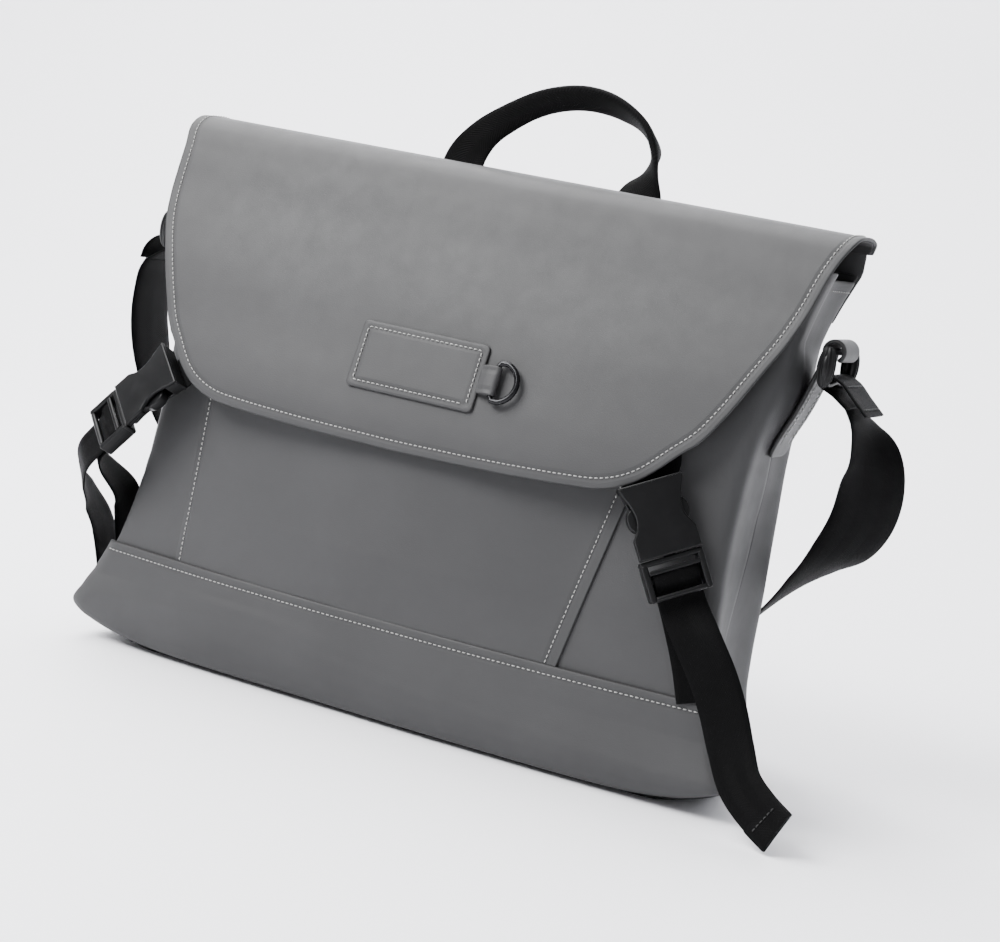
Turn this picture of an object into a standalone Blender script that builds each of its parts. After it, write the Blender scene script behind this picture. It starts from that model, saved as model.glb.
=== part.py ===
"""Messenger bag with a hinged flap, two side-release closures, a carry handle and a shoulder strap.

The bag stands on Z = 0 with its front towards -Y. Every piece is one named object. Lengths in this file are
millimetres, and MM turns them into Blender's metres when a mesh is made.
"""
import math

import bmesh
import bpy
import numpy as np
from mathutils import Matrix, Vector

MM = 0.001
GAP = 0.4  # clearance between pieces that touch on the real bag

# Shell
BODY_TOP = 288.0
BACK_Y = 40.0
BACK_BULGE = 4.0
LEATHER = 1.8
BAND_TOP = 59.0
BAND_LEATHER = 2.0
FRONT_RECESS = 2.4  # the front panel lies this far behind the band's face
BASE_HALF_WIDTH = 172.0
BASE_FRONT_Y = -36.0
BASE_BACK_Y = 37.4
BASE_THICKNESS = 2.5
BOARD_THICKNESS = 2.0
CORNER_LIFT = 9.0  # the band's corners are off the table by this much
BAND_TURN_HEIGHT = 40.0  # below this the band starts to turn under the bag
FOOT_HEIGHT = 8.0  # below this the band narrows towards its sewn foot
FOOT_NARROWING = 14.0  # on each side
FOOT_BULGE = 6.0

# Pocket and interior
POCKET_TOP = 182.0
POCKET_LEATHER = 1.4
POCKET_STAND_OFF = 7.0
LINING_WALL = 1.0
LINING_BOTTOM = 10.0
LINING_TAPER = 34.0  # the lining's bottom is narrower by this on each side, and it widens over this height
DIVIDER_SPAN = (-150.0, 150.0)
DIVIDER_HEIGHTS = (13.0, 246.0)
DIVIDER_FRONT_Y = 24.0
DIVIDER_THICKNESS = 6.0

# Flap
FLAP_HINGE_Y = 43.0
FLAP_HINGE_Z = 303.0
FLAP_LEATHER = 1.6
FLAP_LINING = 1.0
FLAP_BULGE = 8.0  # its sides lie this far behind its middle at the lower edge
FLAP_SHIFT = 9.0  # its lower edge hangs this far to the left
FLAP_LAYER_GAP = 0.3  # between its leather and its lining
LINING_TRIM = 1.5  # its lining is this much narrower on each side

# Hardware
WEBBING = 1.4
CLOSURE_WIDTH = 25.0
# Each buckle: how many degrees it faces outwards, leans outwards in its own plane and looks up; and its mouth
BUCKLE_POSES = {"right": (30.0, 25.0, 14.0, (153.5, -56.0, 133.0)),
                "left": (24.0, 32.0, 24.0, (-184.8, -54.0, 137.5))}
SHOULDER_WIDTH = 38.0
PATCH_CENTRE_X = -8.5
PATCH_CENTRE_Z = 199.0
PATCH_SIZE = (75.0, 37.0)
PATCH_THICKNESS = 1.5
D_RING_RADIUS = 11.0
D_RING_WIRE = 1.45
HANDLE_HINGE = (48.5, 289.0)
HANDLE_THICKNESS = 3.2
HANDLE_ENDS = (("handle_end_left", -53.0), ("handle_end_right", 58.0))
HANDLE_END_SIZE = (28.0, 1.4)
HANDLE_END_HEIGHTS = (246.0, 287.0)
HANDLE_END_Y = 45.4

# (height, value) pairs that shape the shell and the flap
FRONT_Y = ((0, -44), (12, -56), (28, -60), (59, -58), (104, -54), (154, -49), (204, -41), (254, -24),
           (290, -8))
FRONT_BULGE = ((0, 10), (28, 13), (59, 13), (154, 13), (204, 10), (290, 2))
FRONT_HALF_WIDTH = ((0, 190), (10, 203), (28, 200), (59, 189), (104, 181), (154, 178), (204, 180),
                    (254, 188), (290, 195))
BACK_HALF_WIDTH = ((0, 180), (10, 186), (59, 182), (110, 182), (150, 181), (185, 180), (220, 181),
                   (245, 184.5), (264, 188.5), (290, 194))
GUSSET_PINCH = ((0, 0), (60, 6), (150, 9), (210, 7), (290, 4))
FLAP_PROFILE = ((43.0, 302.0), (40.5, 306.5), (33.0, 309.0), (16.0, 310.0), (3.0, 308.5), (-7.0, 302.5),
                (-14.5, 290.0), (-23.5, 270.0), (-33.0, 250.0), (-41.5, 230.0), (-52.0, 199.0),
                (-58.0, 180.0), (-61.5, 166.0), (-63.5, 154.0))
FLAP_HALF_WIDTH = ((0.0, 203.5), (0.33, 202.5), (0.42, 195.0), (0.52, 187.0), (0.63, 179.0), (0.74, 169.0),
                   (0.83, 159.0), (0.89, 149.0), (0.94, 136.0), (0.98, 114.0), (1.0, 80.0))

LEATHER_GREY = (0.155, 0.157, 0.160)
LEATHER_SHADE = (0.080, 0.081, 0.083)
FABRIC_BLACK = (0.012, 0.012, 0.013)
PLASTIC_BLACK = (0.010, 0.010, 0.011)
METAL_BLACK = (0.045, 0.045, 0.047)
LINING_GREY = (0.030, 0.031, 0.034)


def smooth(pairs, t):
    """Value at t of a smooth curve through (t, value) pairs."""
    xs, ys = (np.array(axis, float) for axis in zip(*pairs))
    slopes = np.gradient(ys, xs)
    t = min(max(t, xs[0]), xs[-1])
    i = min(max(int(np.searchsorted(xs, t)) - 1, 0), len(xs) - 2)
    step = xs[i + 1] - xs[i]
    u = (t - xs[i]) / step
    ends = ys[i] * (1 + 2 * u) * (1 - u) ** 2 + ys[i + 1] * u * u * (3 - 2 * u)
    return float(ends + step * (slopes[i] * u * (1 - u) ** 2 - slopes[i + 1] * u * u * (1 - u)))


def along(points, count, values=None):
    """Evenly spaced points on a smooth curve through the points, or values that go with those points."""
    points = np.array(points, float)
    values = points if values is None else np.array(values, float)
    lengths = np.concatenate(([0], np.cumsum(np.linalg.norm(np.diff(points, axis=0), axis=1))))
    places = np.linspace(0, lengths[-1], count)
    axes = [[smooth(list(zip(lengths, column)), place) for place in places] for column in values.T]
    return np.array(axes).T


def material(name, colour, roughness, metallic=0.0):
    made = bpy.data.materials.get(name) or bpy.data.materials.new(name)
    made.use_nodes = True
    shader = made.node_tree.nodes["Principled BSDF"]
    shader.inputs["Base Color"].default_value = (*colour, 1.0)
    shader.inputs["Roughness"].default_value = roughness
    shader.inputs["Metallic"].default_value = metallic
    return made


def finish_object(name, bm, colour, roughness=0.6, metallic=0.0, pivot=(0, 0, 0), frame=None):
    """Turn a bmesh in millimetres into a named object, its origin at the pivot or at the frame."""
    bmesh.ops.recalc_face_normals(bm, faces=bm.faces)
    place = frame if frame is not None else Matrix.Translation(Vector(pivot))
    if frame is None:
        bmesh.ops.translate(bm, verts=bm.verts, vec=-Vector(pivot))
    bmesh.ops.scale(bm, verts=bm.verts, vec=(MM, MM, MM))
    mesh = bpy.data.meshes.new(name)
    bm.to_mesh(mesh)
    bm.free()
    mesh.materials.append(material(name, colour, roughness, metallic))
    mesh.shade_smooth()
    mesh.set_sharp_from_angle(angle=math.radians(35))
    made = bpy.data.objects.new(name, mesh)
    bpy.context.scene.collection.objects.link(made)
    made.matrix_world = Matrix.Translation(place.translation * MM) @ place.to_3x3().to_4x4()
    return made


def cut(target, name, bm, frame):
    """Cut a solid away from the target; the cutter is a guide object that the build leaves out."""
    cutter = finish_object(name, bm, (0.5, 0.5, 0.5), frame=frame)
    cutter.hide_render = True
    cutter.display_type = "WIRE"
    modifier = target.modifiers.new(name, "BOOLEAN")
    modifier.operation = "DIFFERENCE"
    modifier.object = cutter


def loft(rings, closed_ends=True):
    """Closed solid through rings of equal length, capped at both ends."""
    bm = bmesh.new()
    rows = [[bm.verts.new(Vector(point)) for point in ring] for ring in rings]
    count = len(rows[0])
    for low, high in zip(rows, rows[1:]):
        for i in range(count):
            j = (i + 1) % count
            bm.faces.new((low[i], low[j], high[j], high[i]))
    if closed_ends:
        bm.faces.new(rows[0])
        bm.faces.new(rows[-1])
    return bm


def closed_loop(rings):
    """Closed ring-shaped solid: the last ring joins the first."""
    bm = loft(rings, closed_ends=False)
    bm.verts.ensure_lookup_table()
    count = len(rings[0])
    first = [bm.verts[i] for i in range(count)]
    last = [bm.verts[i + count * (len(rings) - 1)] for i in range(count)]
    for i in range(count):
        j = (i + 1) % count
        bm.faces.new((last[i], last[j], first[j], first[i]))
    return bm


def sheet(grid, thickness, side):
    """Closed sheet: the grid of points is one face, and the other lies at thickness on that side of it."""
    grid = np.array(grid, float)
    down, across = np.gradient(grid, axis=0), np.gradient(grid, axis=1)
    normals = np.cross(down, across)
    normals /= np.linalg.norm(normals, axis=2, keepdims=True)
    other = grid + side * thickness * normals
    bm = bmesh.new()
    faces = [[[bm.verts.new(Vector(p)) for p in row] for row in layer] for layer in (grid, other)]
    rows, columns = grid.shape[:2]
    for layer in faces:
        for r in range(rows - 1):
            for c in range(columns - 1):
                bm.faces.new((layer[r][c], layer[r][c + 1], layer[r + 1][c + 1], layer[r + 1][c]))
    border = [(0, c) for c in range(columns)] + [(r, columns - 1) for r in range(1, rows)]
    border += [(rows - 1, c) for c in range(columns - 2, -1, -1)] + [(r, 0) for r in range(rows - 2, 0, -1)]
    for (r, c), (s, d) in zip(border, border[1:] + border[:1]):
        bm.faces.new((faces[0][r][c], faces[0][s][d], faces[1][s][d], faces[1][r][c]))
    return bm


def prism(outline, low, high):
    """Solid with that XY outline between two heights."""
    return loft([[(x, y, z) for x, y in outline] for z in (low, high)])


def box(x, y, z):
    """Solid box from three (low, high) pairs."""
    return prism(((x[0], y[0]), (x[1], y[0]), (x[1], y[1]), (x[0], y[1])), *z)


def joined_boxes(boxes):
    """One closed solid from boxes, each three (low, high) pairs, that meet face to face."""
    edges = [sorted({value for block in boxes for value in block[axis]}) for axis in range(3)]
    filled = set()
    for block in boxes:
        spans = [range(sides.index(low), sides.index(high)) for sides, (low, high) in zip(edges, block)]
        filled.update((i, j, k) for i in spans[0] for j in spans[1] for k in spans[2])
    bm = bmesh.new()
    corners = {}
    for cell in sorted(filled):
        for axis in range(3):
            for step in (0, 1):
                beside = list(cell)
                beside[axis] += 2 * step - 1
                if tuple(beside) in filled:
                    continue
                face = []
                for a, b in ((0, 0), (1, 0), (1, 1), (0, 1)):
                    corner = list(cell)
                    corner[axis] += step
                    corner[(axis + 1) % 3] += a
                    corner[(axis + 2) % 3] += b
                    key = tuple(corner)
                    if key not in corners:
                        corners[key] = bm.verts.new([edges[n][key[n]] for n in range(3)])
                    face.append(corners[key])
                bm.faces.new(face)
    return bm


def mirrored(half):
    """Closed outline from its right half, given from bottom to top as (x, y)."""
    return list(half) + [(-x, y) for x, y in reversed(half)]


def ribbon(centres, widths_towards, widths, thickness):
    """Flat strap along the centres; each width direction is squared up against the strap's direction."""
    centres = np.array(centres, float)
    steps = np.diff(centres, axis=0)
    steps /= np.linalg.norm(steps, axis=1, keepdims=True)
    tangents = np.concatenate((steps[:1], steps[:-1] + steps[1:], steps[-1:]))
    rings = []
    for centre, tangent, towards, width in zip(centres, tangents, widths_towards, widths):
        tangent = tangent / np.linalg.norm(tangent)
        across = np.array(towards, float)
        across -= tangent * np.dot(across, tangent)
        across /= np.linalg.norm(across)
        out = np.cross(tangent, across) * thickness / 2
        low, high = centre - across * width / 2, centre + across * width / 2
        rings.append([low - out, high - out, high + out, low + out])
    return loft(rings)


def tube_rings(path, radius, sides):
    """Rings round a closed path in the XY plane, for a wire of that radius."""
    path = np.array(path, float)
    ahead, behind = np.roll(path, -1, axis=0), np.roll(path, 1, axis=0)
    rings = []
    for point, tangent in zip(path, ahead - behind):
        tangent = tangent / np.linalg.norm(tangent)
        side = np.array((tangent[1], -tangent[0], 0.0))
        turns = [2 * math.pi * k / sides for k in range(sides)]
        rings.append([point + radius * (side * math.cos(t) + np.array((0, 0, math.sin(t)))) for t in turns])
    return rings


def arc(centre, radius, start, end, count):
    """Points on a circle's arc, in degrees."""
    turns = np.radians(np.linspace(start, end, count))
    return [(centre[0] + radius * math.cos(t), centre[1] + radius * math.sin(t)) for t in turns]


# ---------------------------------------------------------------- shell

def front_point(u, z, inset=0.0):
    """Point of the bag's front at share u of the half width, that far behind the outer face."""
    bulge = smooth(FRONT_BULGE, z)
    return (u * smooth(FRONT_HALF_WIDTH, z), smooth(FRONT_Y, z) + bulge * u * u + inset, z)


def back_point(u, z, inset=0.0):
    bulge = BACK_BULGE * (1 - u * u) * math.sin(math.pi * z / BODY_TOP)
    return (u * smooth(BACK_HALF_WIDTH, z), BACK_Y + bulge - inset, z)


def gusset_point(side, t, z):
    """Point of a side wall, t from 0 at the front corner to 1 at the back corner."""
    front_y = front_point(1, z)[1] + FRONT_RECESS + LEATHER + 1.2
    back_y = BACK_Y - LEATHER - GAP
    straight = (1 - t) * smooth(FRONT_HALF_WIDTH, z) + t * smooth(BACK_HALF_WIDTH, z)
    x = straight - smooth(GUSSET_PINCH, z) * math.sin(math.pi * t)
    return (side * x, front_y + (back_y - front_y) * t, z)


def shell_panels():
    across = np.linspace(-1, 1, 11)
    front = [[front_point(u, z, FRONT_RECESS) for u in across] for z in np.linspace(50, BODY_TOP, 12)]
    finish_object("front_panel", sheet(front, LEATHER, 1), LEATHER_GREY)
    back = [[back_point(u, z) for u in across] for z in np.linspace(3, BODY_TOP, 12)]
    finish_object("back_panel", sheet(back, LEATHER, -1), LEATHER_GREY)
    for name, side in (("left_gusset", -1), ("right_gusset", 1)):
        rows = [[gusset_point(side, t, z) for t in np.linspace(0, 1, 7)] for z in np.linspace(3.2, 284, 13)]
        finish_object(name, sheet(rows, LEATHER, -side), LEATHER_SHADE)


def bottom_band():
    """Band round the lower front; it turns under the bag, and its corners lift off the table."""
    profile = ((-58.0, BAND_TOP), (-59.8, 42.0), (-60.0, 28.0), (-57.5, 14.0), (-52.0, 5.5), (-45.0, 1.6),
               (BASE_FRONT_Y - GAP, 0.4))
    rows = []
    for y, z in along(profile, 11):
        low = max(0.0, 1 - z / BAND_TURN_HEIGHT)
        bulge = smooth(FRONT_BULGE, z) * (1 - low) + FOOT_BULGE * low
        narrowing = FOOT_NARROWING * max(0.0, 1 - z / FOOT_HEIGHT)
        width = smooth(FRONT_HALF_WIDTH, max(z, FOOT_HEIGHT)) - narrowing
        rows.append([(u * width, min(y + bulge * u * u, BASE_FRONT_Y - GAP - 0.1 * (z > 0.5)),
                      z + CORNER_LIFT * low * u ** 8) for u in np.linspace(-1, 1, 15)])
    finish_object("bottom_band", sheet(rows, BAND_LEATHER, -1), LEATHER_GREY)


def rounded_rectangle(x, y, radius, steps=4):
    """Outline of a rectangle from two (low, high) pairs with round corners."""
    outline = []
    corners = ((x[1] - radius, y[0] + radius, -90), (x[1] - radius, y[1] - radius, 0),
               (x[0] + radius, y[1] - radius, 90), (x[0] + radius, y[0] + radius, 180))
    for cx, cy, start in corners:
        outline += arc((cx, cy), radius, start, start + 90, steps)
    return outline


def base():
    outline = rounded_rectangle((-BASE_HALF_WIDTH, BASE_HALF_WIDTH), (BASE_FRONT_Y, BASE_BACK_Y), 18)
    finish_object("base_panel", prism(outline, 0, BASE_THICKNESS), LEATHER_SHADE)
    board = rounded_rectangle((-164, 164), (-32, 33), 14)
    low = BASE_THICKNESS + GAP
    finish_object("base_board", prism(board, low, low + BOARD_THICKNESS), LINING_GREY, 0.8)


def pocket_panel():
    """Slip pocket sewn over the front; its middle stands off the front panel, and it is open at the top."""
    left = ((BAND_TOP, -142.0), (154, -145.0), (204, -147.0))
    right = ((BAND_TOP, 102.0), (154, 121.0), (204, 130.0))
    rows = []
    for z in np.linspace(BAND_TOP + GAP, POCKET_TOP, 10):
        row = []
        for share in np.linspace(0, 1, 12):
            x = smooth(left, z) * (1 - share) + smooth(right, z) * share
            u = x / smooth(FRONT_HALF_WIDTH, z)
            rise = min(1.0, (z - BAND_TOP) / 30)
            stand_off = POCKET_STAND_OFF * math.sin(math.pi * share) ** 0.6 * rise
            row.append(front_point(u, z, FRONT_RECESS - GAP - POCKET_LEATHER - stand_off))
        rows.append(row)
    finish_object("pocket_panel", sheet(rows, POCKET_LEATHER, 1), LEATHER_GREY)


def lining_ring(z, inset):
    """Closed ring inside the shell at one height."""
    front_width = smooth(FRONT_HALF_WIDTH, z)
    width = min(front_width, smooth(BACK_HALF_WIDTH, z)) - smooth(GUSSET_PINCH, z) - 4 - inset
    width -= LINING_TAPER * max(0.0, 1 - z / LINING_TAPER)
    shares = np.linspace(-1, 1, 9)
    front = []
    for share in shares:
        x, y, _ = front_point(share * width / front_width, z, FRONT_RECESS + LEATHER + 1.4 + inset)
        front.append((x, y, z))
    back = [(share * width, BACK_Y - LEATHER - 1.2 - inset, z) for share in shares[::-1]]
    return front + back


def interior():
    """Open-topped lining, and the padded divider that makes its laptop sleeve."""
    heights = (LINING_BOTTOM, 30, 59, 104, 154, 204, 245, 280)
    outer = [lining_ring(z, 0.0) for z in heights]
    inner = [lining_ring(max(z, LINING_BOTTOM + 1.2), LINING_WALL) for z in heights]
    finish_object("lining", loft(outer + inner[::-1]), LINING_GREY, 0.85)
    divider = rounded_rectangle(DIVIDER_SPAN, DIVIDER_HEIGHTS, 10)
    back_y = DIVIDER_FRONT_Y + DIVIDER_THICKNESS
    frame = Matrix(((1, 0, 0, 0), (0, 0, -1, back_y), (0, 1, 0, 0), (0, 0, 0, 1)))
    finish_object("laptop_divider", prism(divider, 0, DIVIDER_THICKNESS), LINING_GREY, 0.85, frame=frame)


# ---------------------------------------------------------------- flap

def flap_rows(trim, rows=22, columns=13):
    """Grid of the flap's outer face, with its sides trimmed by that much; it hangs a little to the left."""
    grid = []
    for i, (y, z) in enumerate(along(FLAP_PROFILE, rows)):
        share = i / (rows - 1)
        half = smooth(FLAP_HALF_WIDTH, share) - trim
        bulge = FLAP_BULGE * share
        xs = np.linspace(-half, half, columns) - FLAP_SHIFT * share
        grid.append([(x, y + bulge * (x / 180) ** 2, z) for x in xs])
    return grid


def flap():
    pivot = (0, FLAP_HINGE_Y, FLAP_HINGE_Z)
    outer = sheet(flap_rows(0), FLAP_LEATHER, -1)
    finish_object("flap_outer", outer, LEATHER_GREY, pivot=pivot)
    depth = FLAP_LEATHER + FLAP_LAYER_GAP
    lining = sheet(flap_rows(LINING_TRIM), depth + FLAP_LINING, -1)
    cut_layer(lining, depth)
    finish_object("flap_lining", lining, LINING_GREY, 0.85, pivot=pivot)


def cut_layer(bm, depth):
    """Move a sheet's outer face inwards by depth, so that only its inner layer is left."""
    bm.verts.ensure_lookup_table()
    half = len(bm.verts) // 2
    for i in range(half):
        outer, inner = bm.verts[i].co.copy(), bm.verts[i + half].co
        bm.verts[i].co = outer + (inner - outer).normalized() * depth


def flap_back_strip():
    """The end of the flap leather that is sewn flat on the back panel."""
    rows = [[back_point(u, z, -LEATHER - GAP) for u in np.linspace(-1, 1, 9)] for z in (262, 275, BODY_TOP)]
    rows.append([(u * 202, FLAP_HINGE_Y - 0.4, 300.5) for u in np.linspace(-1, 1, 9)])
    finish_object("flap_back_strip", sheet(rows, 1.4, 1), LEATHER_GREY)


def flap_frame(x, z, lift):
    """Frame on the flap's outer face: X along the bag, Y up the slope, Z outwards."""
    path = along(FLAP_PROFILE, 120)
    i = int(np.argmin(abs(path[:, 1] - z) + 1000 * (path[:, 0] > 0)))
    slope = path[i - 1] - path[i + 1]
    slope /= np.linalg.norm(slope)
    up = Vector((0, slope[0], slope[1]))
    out = Vector((1, 0, 0)).cross(up)
    point = Vector((x, path[i][0], path[i][1])) + out * lift
    place = Matrix((Vector((1, 0, 0)), up, out)).transposed().to_4x4()
    place.translation = point
    return place


def patch_and_ring():
    """Stitched label patch, and the small ring that a tab holds at its right edge."""
    frame = flap_frame(PATCH_CENTRE_X, PATCH_CENTRE_Z, GAP)
    half_x, half_y = PATCH_SIZE[0] / 2, PATCH_SIZE[1] / 2
    outline = rounded_rectangle((-half_x, half_x), (-half_y, half_y), 3)
    finish_object("flap_patch", prism(outline, 0, PATCH_THICKNESS), LEATHER_GREY, frame=frame)
    bar_x, bar_z, tab_start = half_x + 9.5, 3.2, half_x + 0.8
    turn = arc((bar_x, bar_z), 2.4, -90, 90, 9)
    section = [(tab_start, 0.8), (bar_x - 3, 0.8)] + turn + [(bar_x - 3, 5.0), (tab_start, 3.0)]
    centres = [(x, 0, z) for x, z in section]
    tab = ribbon(centres, [(0, 1, 0)] * len(centres), [15.0] * len(centres), 1.2)
    finish_object("d_ring_tab", tab, LEATHER_SHADE, frame=frame)
    path = [(0, y, 0) for y in np.linspace(-9.5, 9.5, 5)]
    path += [(2.0 + x, y, 0) for x, y in arc((0, 0), D_RING_RADIUS, 80, -80, 11)]
    ring_frame = frame @ Matrix.Translation((bar_x, 0, bar_z))
    ring = closed_loop(tube_rings(path, D_RING_WIRE, 6))
    finish_object("d_ring", ring, METAL_BLACK, 0.35, 0.8, frame=ring_frame)


# ---------------------------------------------------------------- carry handle

def carry_handle():
    """Webbing handle: flat flared ends, a folded grip between them, and two ends sewn on the back."""
    pivot = (0, *HANDLE_HINGE)
    # Each point: place, width direction, width
    route = (((-53, 48.5, 289.2), (1, 0, 0), 27), ((-52.5, 49.5, 301), (1, 0, 0), 27),
             ((-51, 50.5, 312), (1, 0, -0.1), 25), ((-43, 52, 327), (0.75, 0.1, -0.65), 19),
             ((-29, 54, 340), (0.5, 0.25, -0.8), 16), ((-7, 56, 353), (0.15, 0.35, -0.92), 15),
             ((16, 57.5, 358), (0, 0.45, -0.9), 15), ((37, 58, 355), (-0.15, 0.7, -0.7), 15),
             ((54, 58, 346), (-0.3, 1, -0.3), 15), ((62, 57.5, 334), (-0.2, 1, 0), 16),
             ((62, 55.5, 324), (-0.6, 0.8, 0), 19), ((60, 52.5, 312), (-1, 0.25, 0), 27),
             ((58.5, 50, 301), (-1, 0, 0), 29), ((58, 48.5, 289.2), (-1, 0, 0), 29))
    places, directions, widths = zip(*route)
    steps = 27  # points along the strip
    towards = along(places, steps, directions)
    wide = along(places, steps, [(width,) for width in widths])[:, 0]
    handle = ribbon(along(places, steps), towards, wide, HANDLE_THICKNESS)
    finish_object("carry_handle", handle, FABRIC_BLACK, 0.8, pivot=pivot)
    width, thickness = HANDLE_END_SIZE
    for name, x in HANDLE_ENDS:
        depth = (HANDLE_END_Y, HANDLE_END_Y + thickness)
        end = box((x - width / 2, x + width / 2), depth, HANDLE_END_HEIGHTS)
        finish_object(name, end, FABRIC_BLACK, 0.8)


# ---------------------------------------------------------------- closures

def buckle_frame(label, side):
    """Frame of one closure buckle: origin at the socket's mouth, Y up its middle, Z outwards."""
    *angles, mouth = BUCKLE_POSES[label]
    turn, slant, pitch = (math.radians(angle) for angle in angles)
    facing = Vector((side * math.sin(turn), -math.cos(turn), 0))
    level = Vector((side * math.cos(turn), math.sin(turn), 0))
    vertical = Vector((0, 0, 1))
    out = facing * math.cos(pitch) + vertical * math.sin(pitch)
    up = (vertical * math.cos(pitch) - facing * math.sin(pitch)) * math.cos(slant) - level * math.sin(slant)
    place = Matrix((up.cross(out), up, out)).transposed().to_4x4()
    place.translation = Vector(mouth)
    return place


def buckle_socket(label, frame):
    """Socket with a waisted front plate; its back is open, so that it lifts off the plug with the flap."""
    half = ((17, 0), (16.8, 12), (14.4, 15), (12.8, 17.5), (12.2, 22), (13, 26), (15, 31), (17.5, 39.5))
    plate = prism(mirrored(half), -5.5, 5.5)
    socket = finish_object("buckle_socket_" + label, plate, PLASTIC_BLACK, 0.4, frame=frame)
    cuts = (("cavity", (-13.6, 13.6), (-1, 29), (-7, 2.7)), ("back", (-20, 20), (-1, 17), (-7, 1.0)),
            ("slot", (-13.2, 13.2), (33.5, 36), (-7, 7)))
    for part, x, y, z in cuts:
        cut(socket, f"cut_{part}_{label}", box(x, y, z), frame)


def buckle_plug(label, frame):
    """Plug: two side rails, three cross bars for the webbing and a middle tongue."""
    blocks = (((-17, 17), (-5, -0.4), (-4.4, 4.4)), ((-17, -13.4), (-22, -5), (-4.4, 4.4)),
              ((13.4, 17), (-22, -5), (-4.4, 4.4)), ((-13.4, 13.4), (-12.5, -9), (-2.2, 1.6)),
              ((-13.4, 13.4), (-22, -19), (0.4, 4.4)), ((-3.5, 3.5), (-0.4, 22), (-2.2, 1.6)))
    finish_object("buckle_plug_" + label, joined_boxes(blocks), PLASTIC_BLACK, 0.4, frame=frame)


def release_arms(label, frame):
    """Two spring arms; each origin is at the arm's root, where it bends."""
    outline = ((-1.4, 0.7), (1.6, 0.7), (2.0, 13), (2.6, 17), (5.4, 20.5), (5.6, 24), (3.0, 27),
               (0.6, 27.5), (-1.2, 24))
    outwards = 1 if label == "right" else -1
    for name, side in (("inner", -outwards), ("outer", outwards)):
        place = frame @ Matrix.Translation((side * 10.0, 0, 0))
        arm = prism([(side * x, y) for x, y in outline], -3.4, 0.6)
        finish_object(f"release_arm_{label}_{name}", arm, PLASTIC_BLACK, 0.4, frame=place)


def closure_strap(label, side, frame):
    """One webbing: sewn under the band's edge, up behind the plug, round its bar and down as the tail."""
    loop = ((-27, -4.2), (-19, -3.6), (-13, -3.8), (-10.5, -3.8), (-8.4, -3.2), (-7.0, -1.4), (-6.8, 0.4),
            (-7.8, 2.2), (-10.5, 3.0), (-13.5, 2.4), (-16.5, 0.2), (-19.5, -1.3), (-25, -1.8))
    across = frame.to_3x3() @ Vector((side, 0, 0))
    foot_places, foot_direction = STRAP_FEET[label]
    start = foot_places + (tuple(frame @ Vector((0, *loop[0]))),)
    rise = list(along(start, 6)[:-1])
    turn = [tuple(frame @ Vector((0, y, z))) for y, z in loop]
    tail_places, tail_directions = zip(*TAIL_ROUTES[label])
    tail = along((turn[-1],) + tail_places, 12)[1:]
    directions = (foot_direction, foot_direction, tuple(across))
    towards = list(along(start, 6, directions)[:-1]) + [tuple(across)] * len(turn)
    towards += list(along((turn[-1],) + tail_places, 12, (tuple(across),) + tail_directions)[1:])
    centres = rise + turn + list(tail)
    strap = ribbon(centres, towards, [CLOSURE_WIDTH] * len(centres), WEBBING)
    finish_object("closure_strap_" + label, strap, FABRIC_BLACK, 0.8)


def upper_webbing(label, side, frame):
    """Webbing sewn under the flap that holds the socket."""
    across = tuple(frame.to_3x3() @ Vector((side, 0, 0)))
    places = WEBBING_ROUTES[label] + (tuple(frame @ Vector((0, 35.0, -8.9))),)
    towards = along(places, 9, ((side, 0.15, 0.1), (side, 0.2, 0), (side, 0.25, -0.2), across))
    strap = ribbon(along(places, 9), towards, [CLOSURE_WIDTH] * 9, WEBBING)
    finish_object("upper_webbing_" + label, strap, FABRIC_BLACK, 0.8, pivot=(0, FLAP_HINGE_Y, FLAP_HINGE_Z))


# Webbings that hold the sockets: from the seam under the flap down
WEBBING_ROUTES = {"right": ((118, -41, 203), (127, -41.5, 191), (133, -43.5, 178)),
                  "left": ((-136, -40, 203), (-146, -41.5, 191), (-152.5, -42.5, 179))}
# Where each closure webbing is sewn down: two places and its width direction
STRAP_FEET = {"right": (((182, -46.4, 60.6), (175.5, -47.5, 80)), (1, 0.25, 0.05)),
              "left": (((-191.5, -21, 62), (-191.5, -29, 84)), (0.05, 1, 0))}
# Loose tails below the plugs: place and width direction
TAIL_ROUTES = {
    "right": (((177.8, -58, 93.7), (0.95, 0.25, 0.25)), ((190.8, -59, 76), (0.95, 0.25, 0.3)),
              ((199, -60, 62), (0.85, 0.2, 0.5)), ((207.8, -62, 44), (0.8, 0.1, 0.6)),
              ((217, -66, 29), (0.7, 0, 0.7)), ((231, -71, 19), (0.55, 0, 0.84)),
              ((244, -76, 13), (0.4, 0, 0.92))),
    "left": (((-207, -56, 106), (-0.7, 0.55, 0.4)), ((-212, -48, 93), (-0.6, 0.75, 0.1)),
             ((-213, -35, 80), (-0.3, 0.95, 0)),
             ((-211, -21, 64), (-0.1, 1, 0)), ((-208, -12, 43), (0, 1, 0.1)), ((-207, -5, 22), (0, 1, 0.3))),
}


def closures():
    for label, side in (("left", -1), ("right", 1)):
        frame = buckle_frame(label, side)
        buckle_socket(label, frame)
        buckle_plug(label, frame)
        release_arms(label, frame)
        closure_strap(label, side, frame)
        upper_webbing(label, side, frame)


# ---------------------------------------------------------------- shoulder strap

RING_Y = 10.0
RING_BAR = (203.0, 249.0)  # X and Z of the ring's upper bar on the right side
RING_HEIGHT = 16.0  # between its two bars
SIDE_RING_WIRE = 2.0
# X and Z of each strap end's upper layer on the right side, from its tip to the ring
STRAP_END_TIPS = {"right": ((227.5, 219.5), (219, 227), (211, 234)),
                  "left": ((228, 211), (226, 222), (220.5, 230.5), (211, 235.6))}


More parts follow.
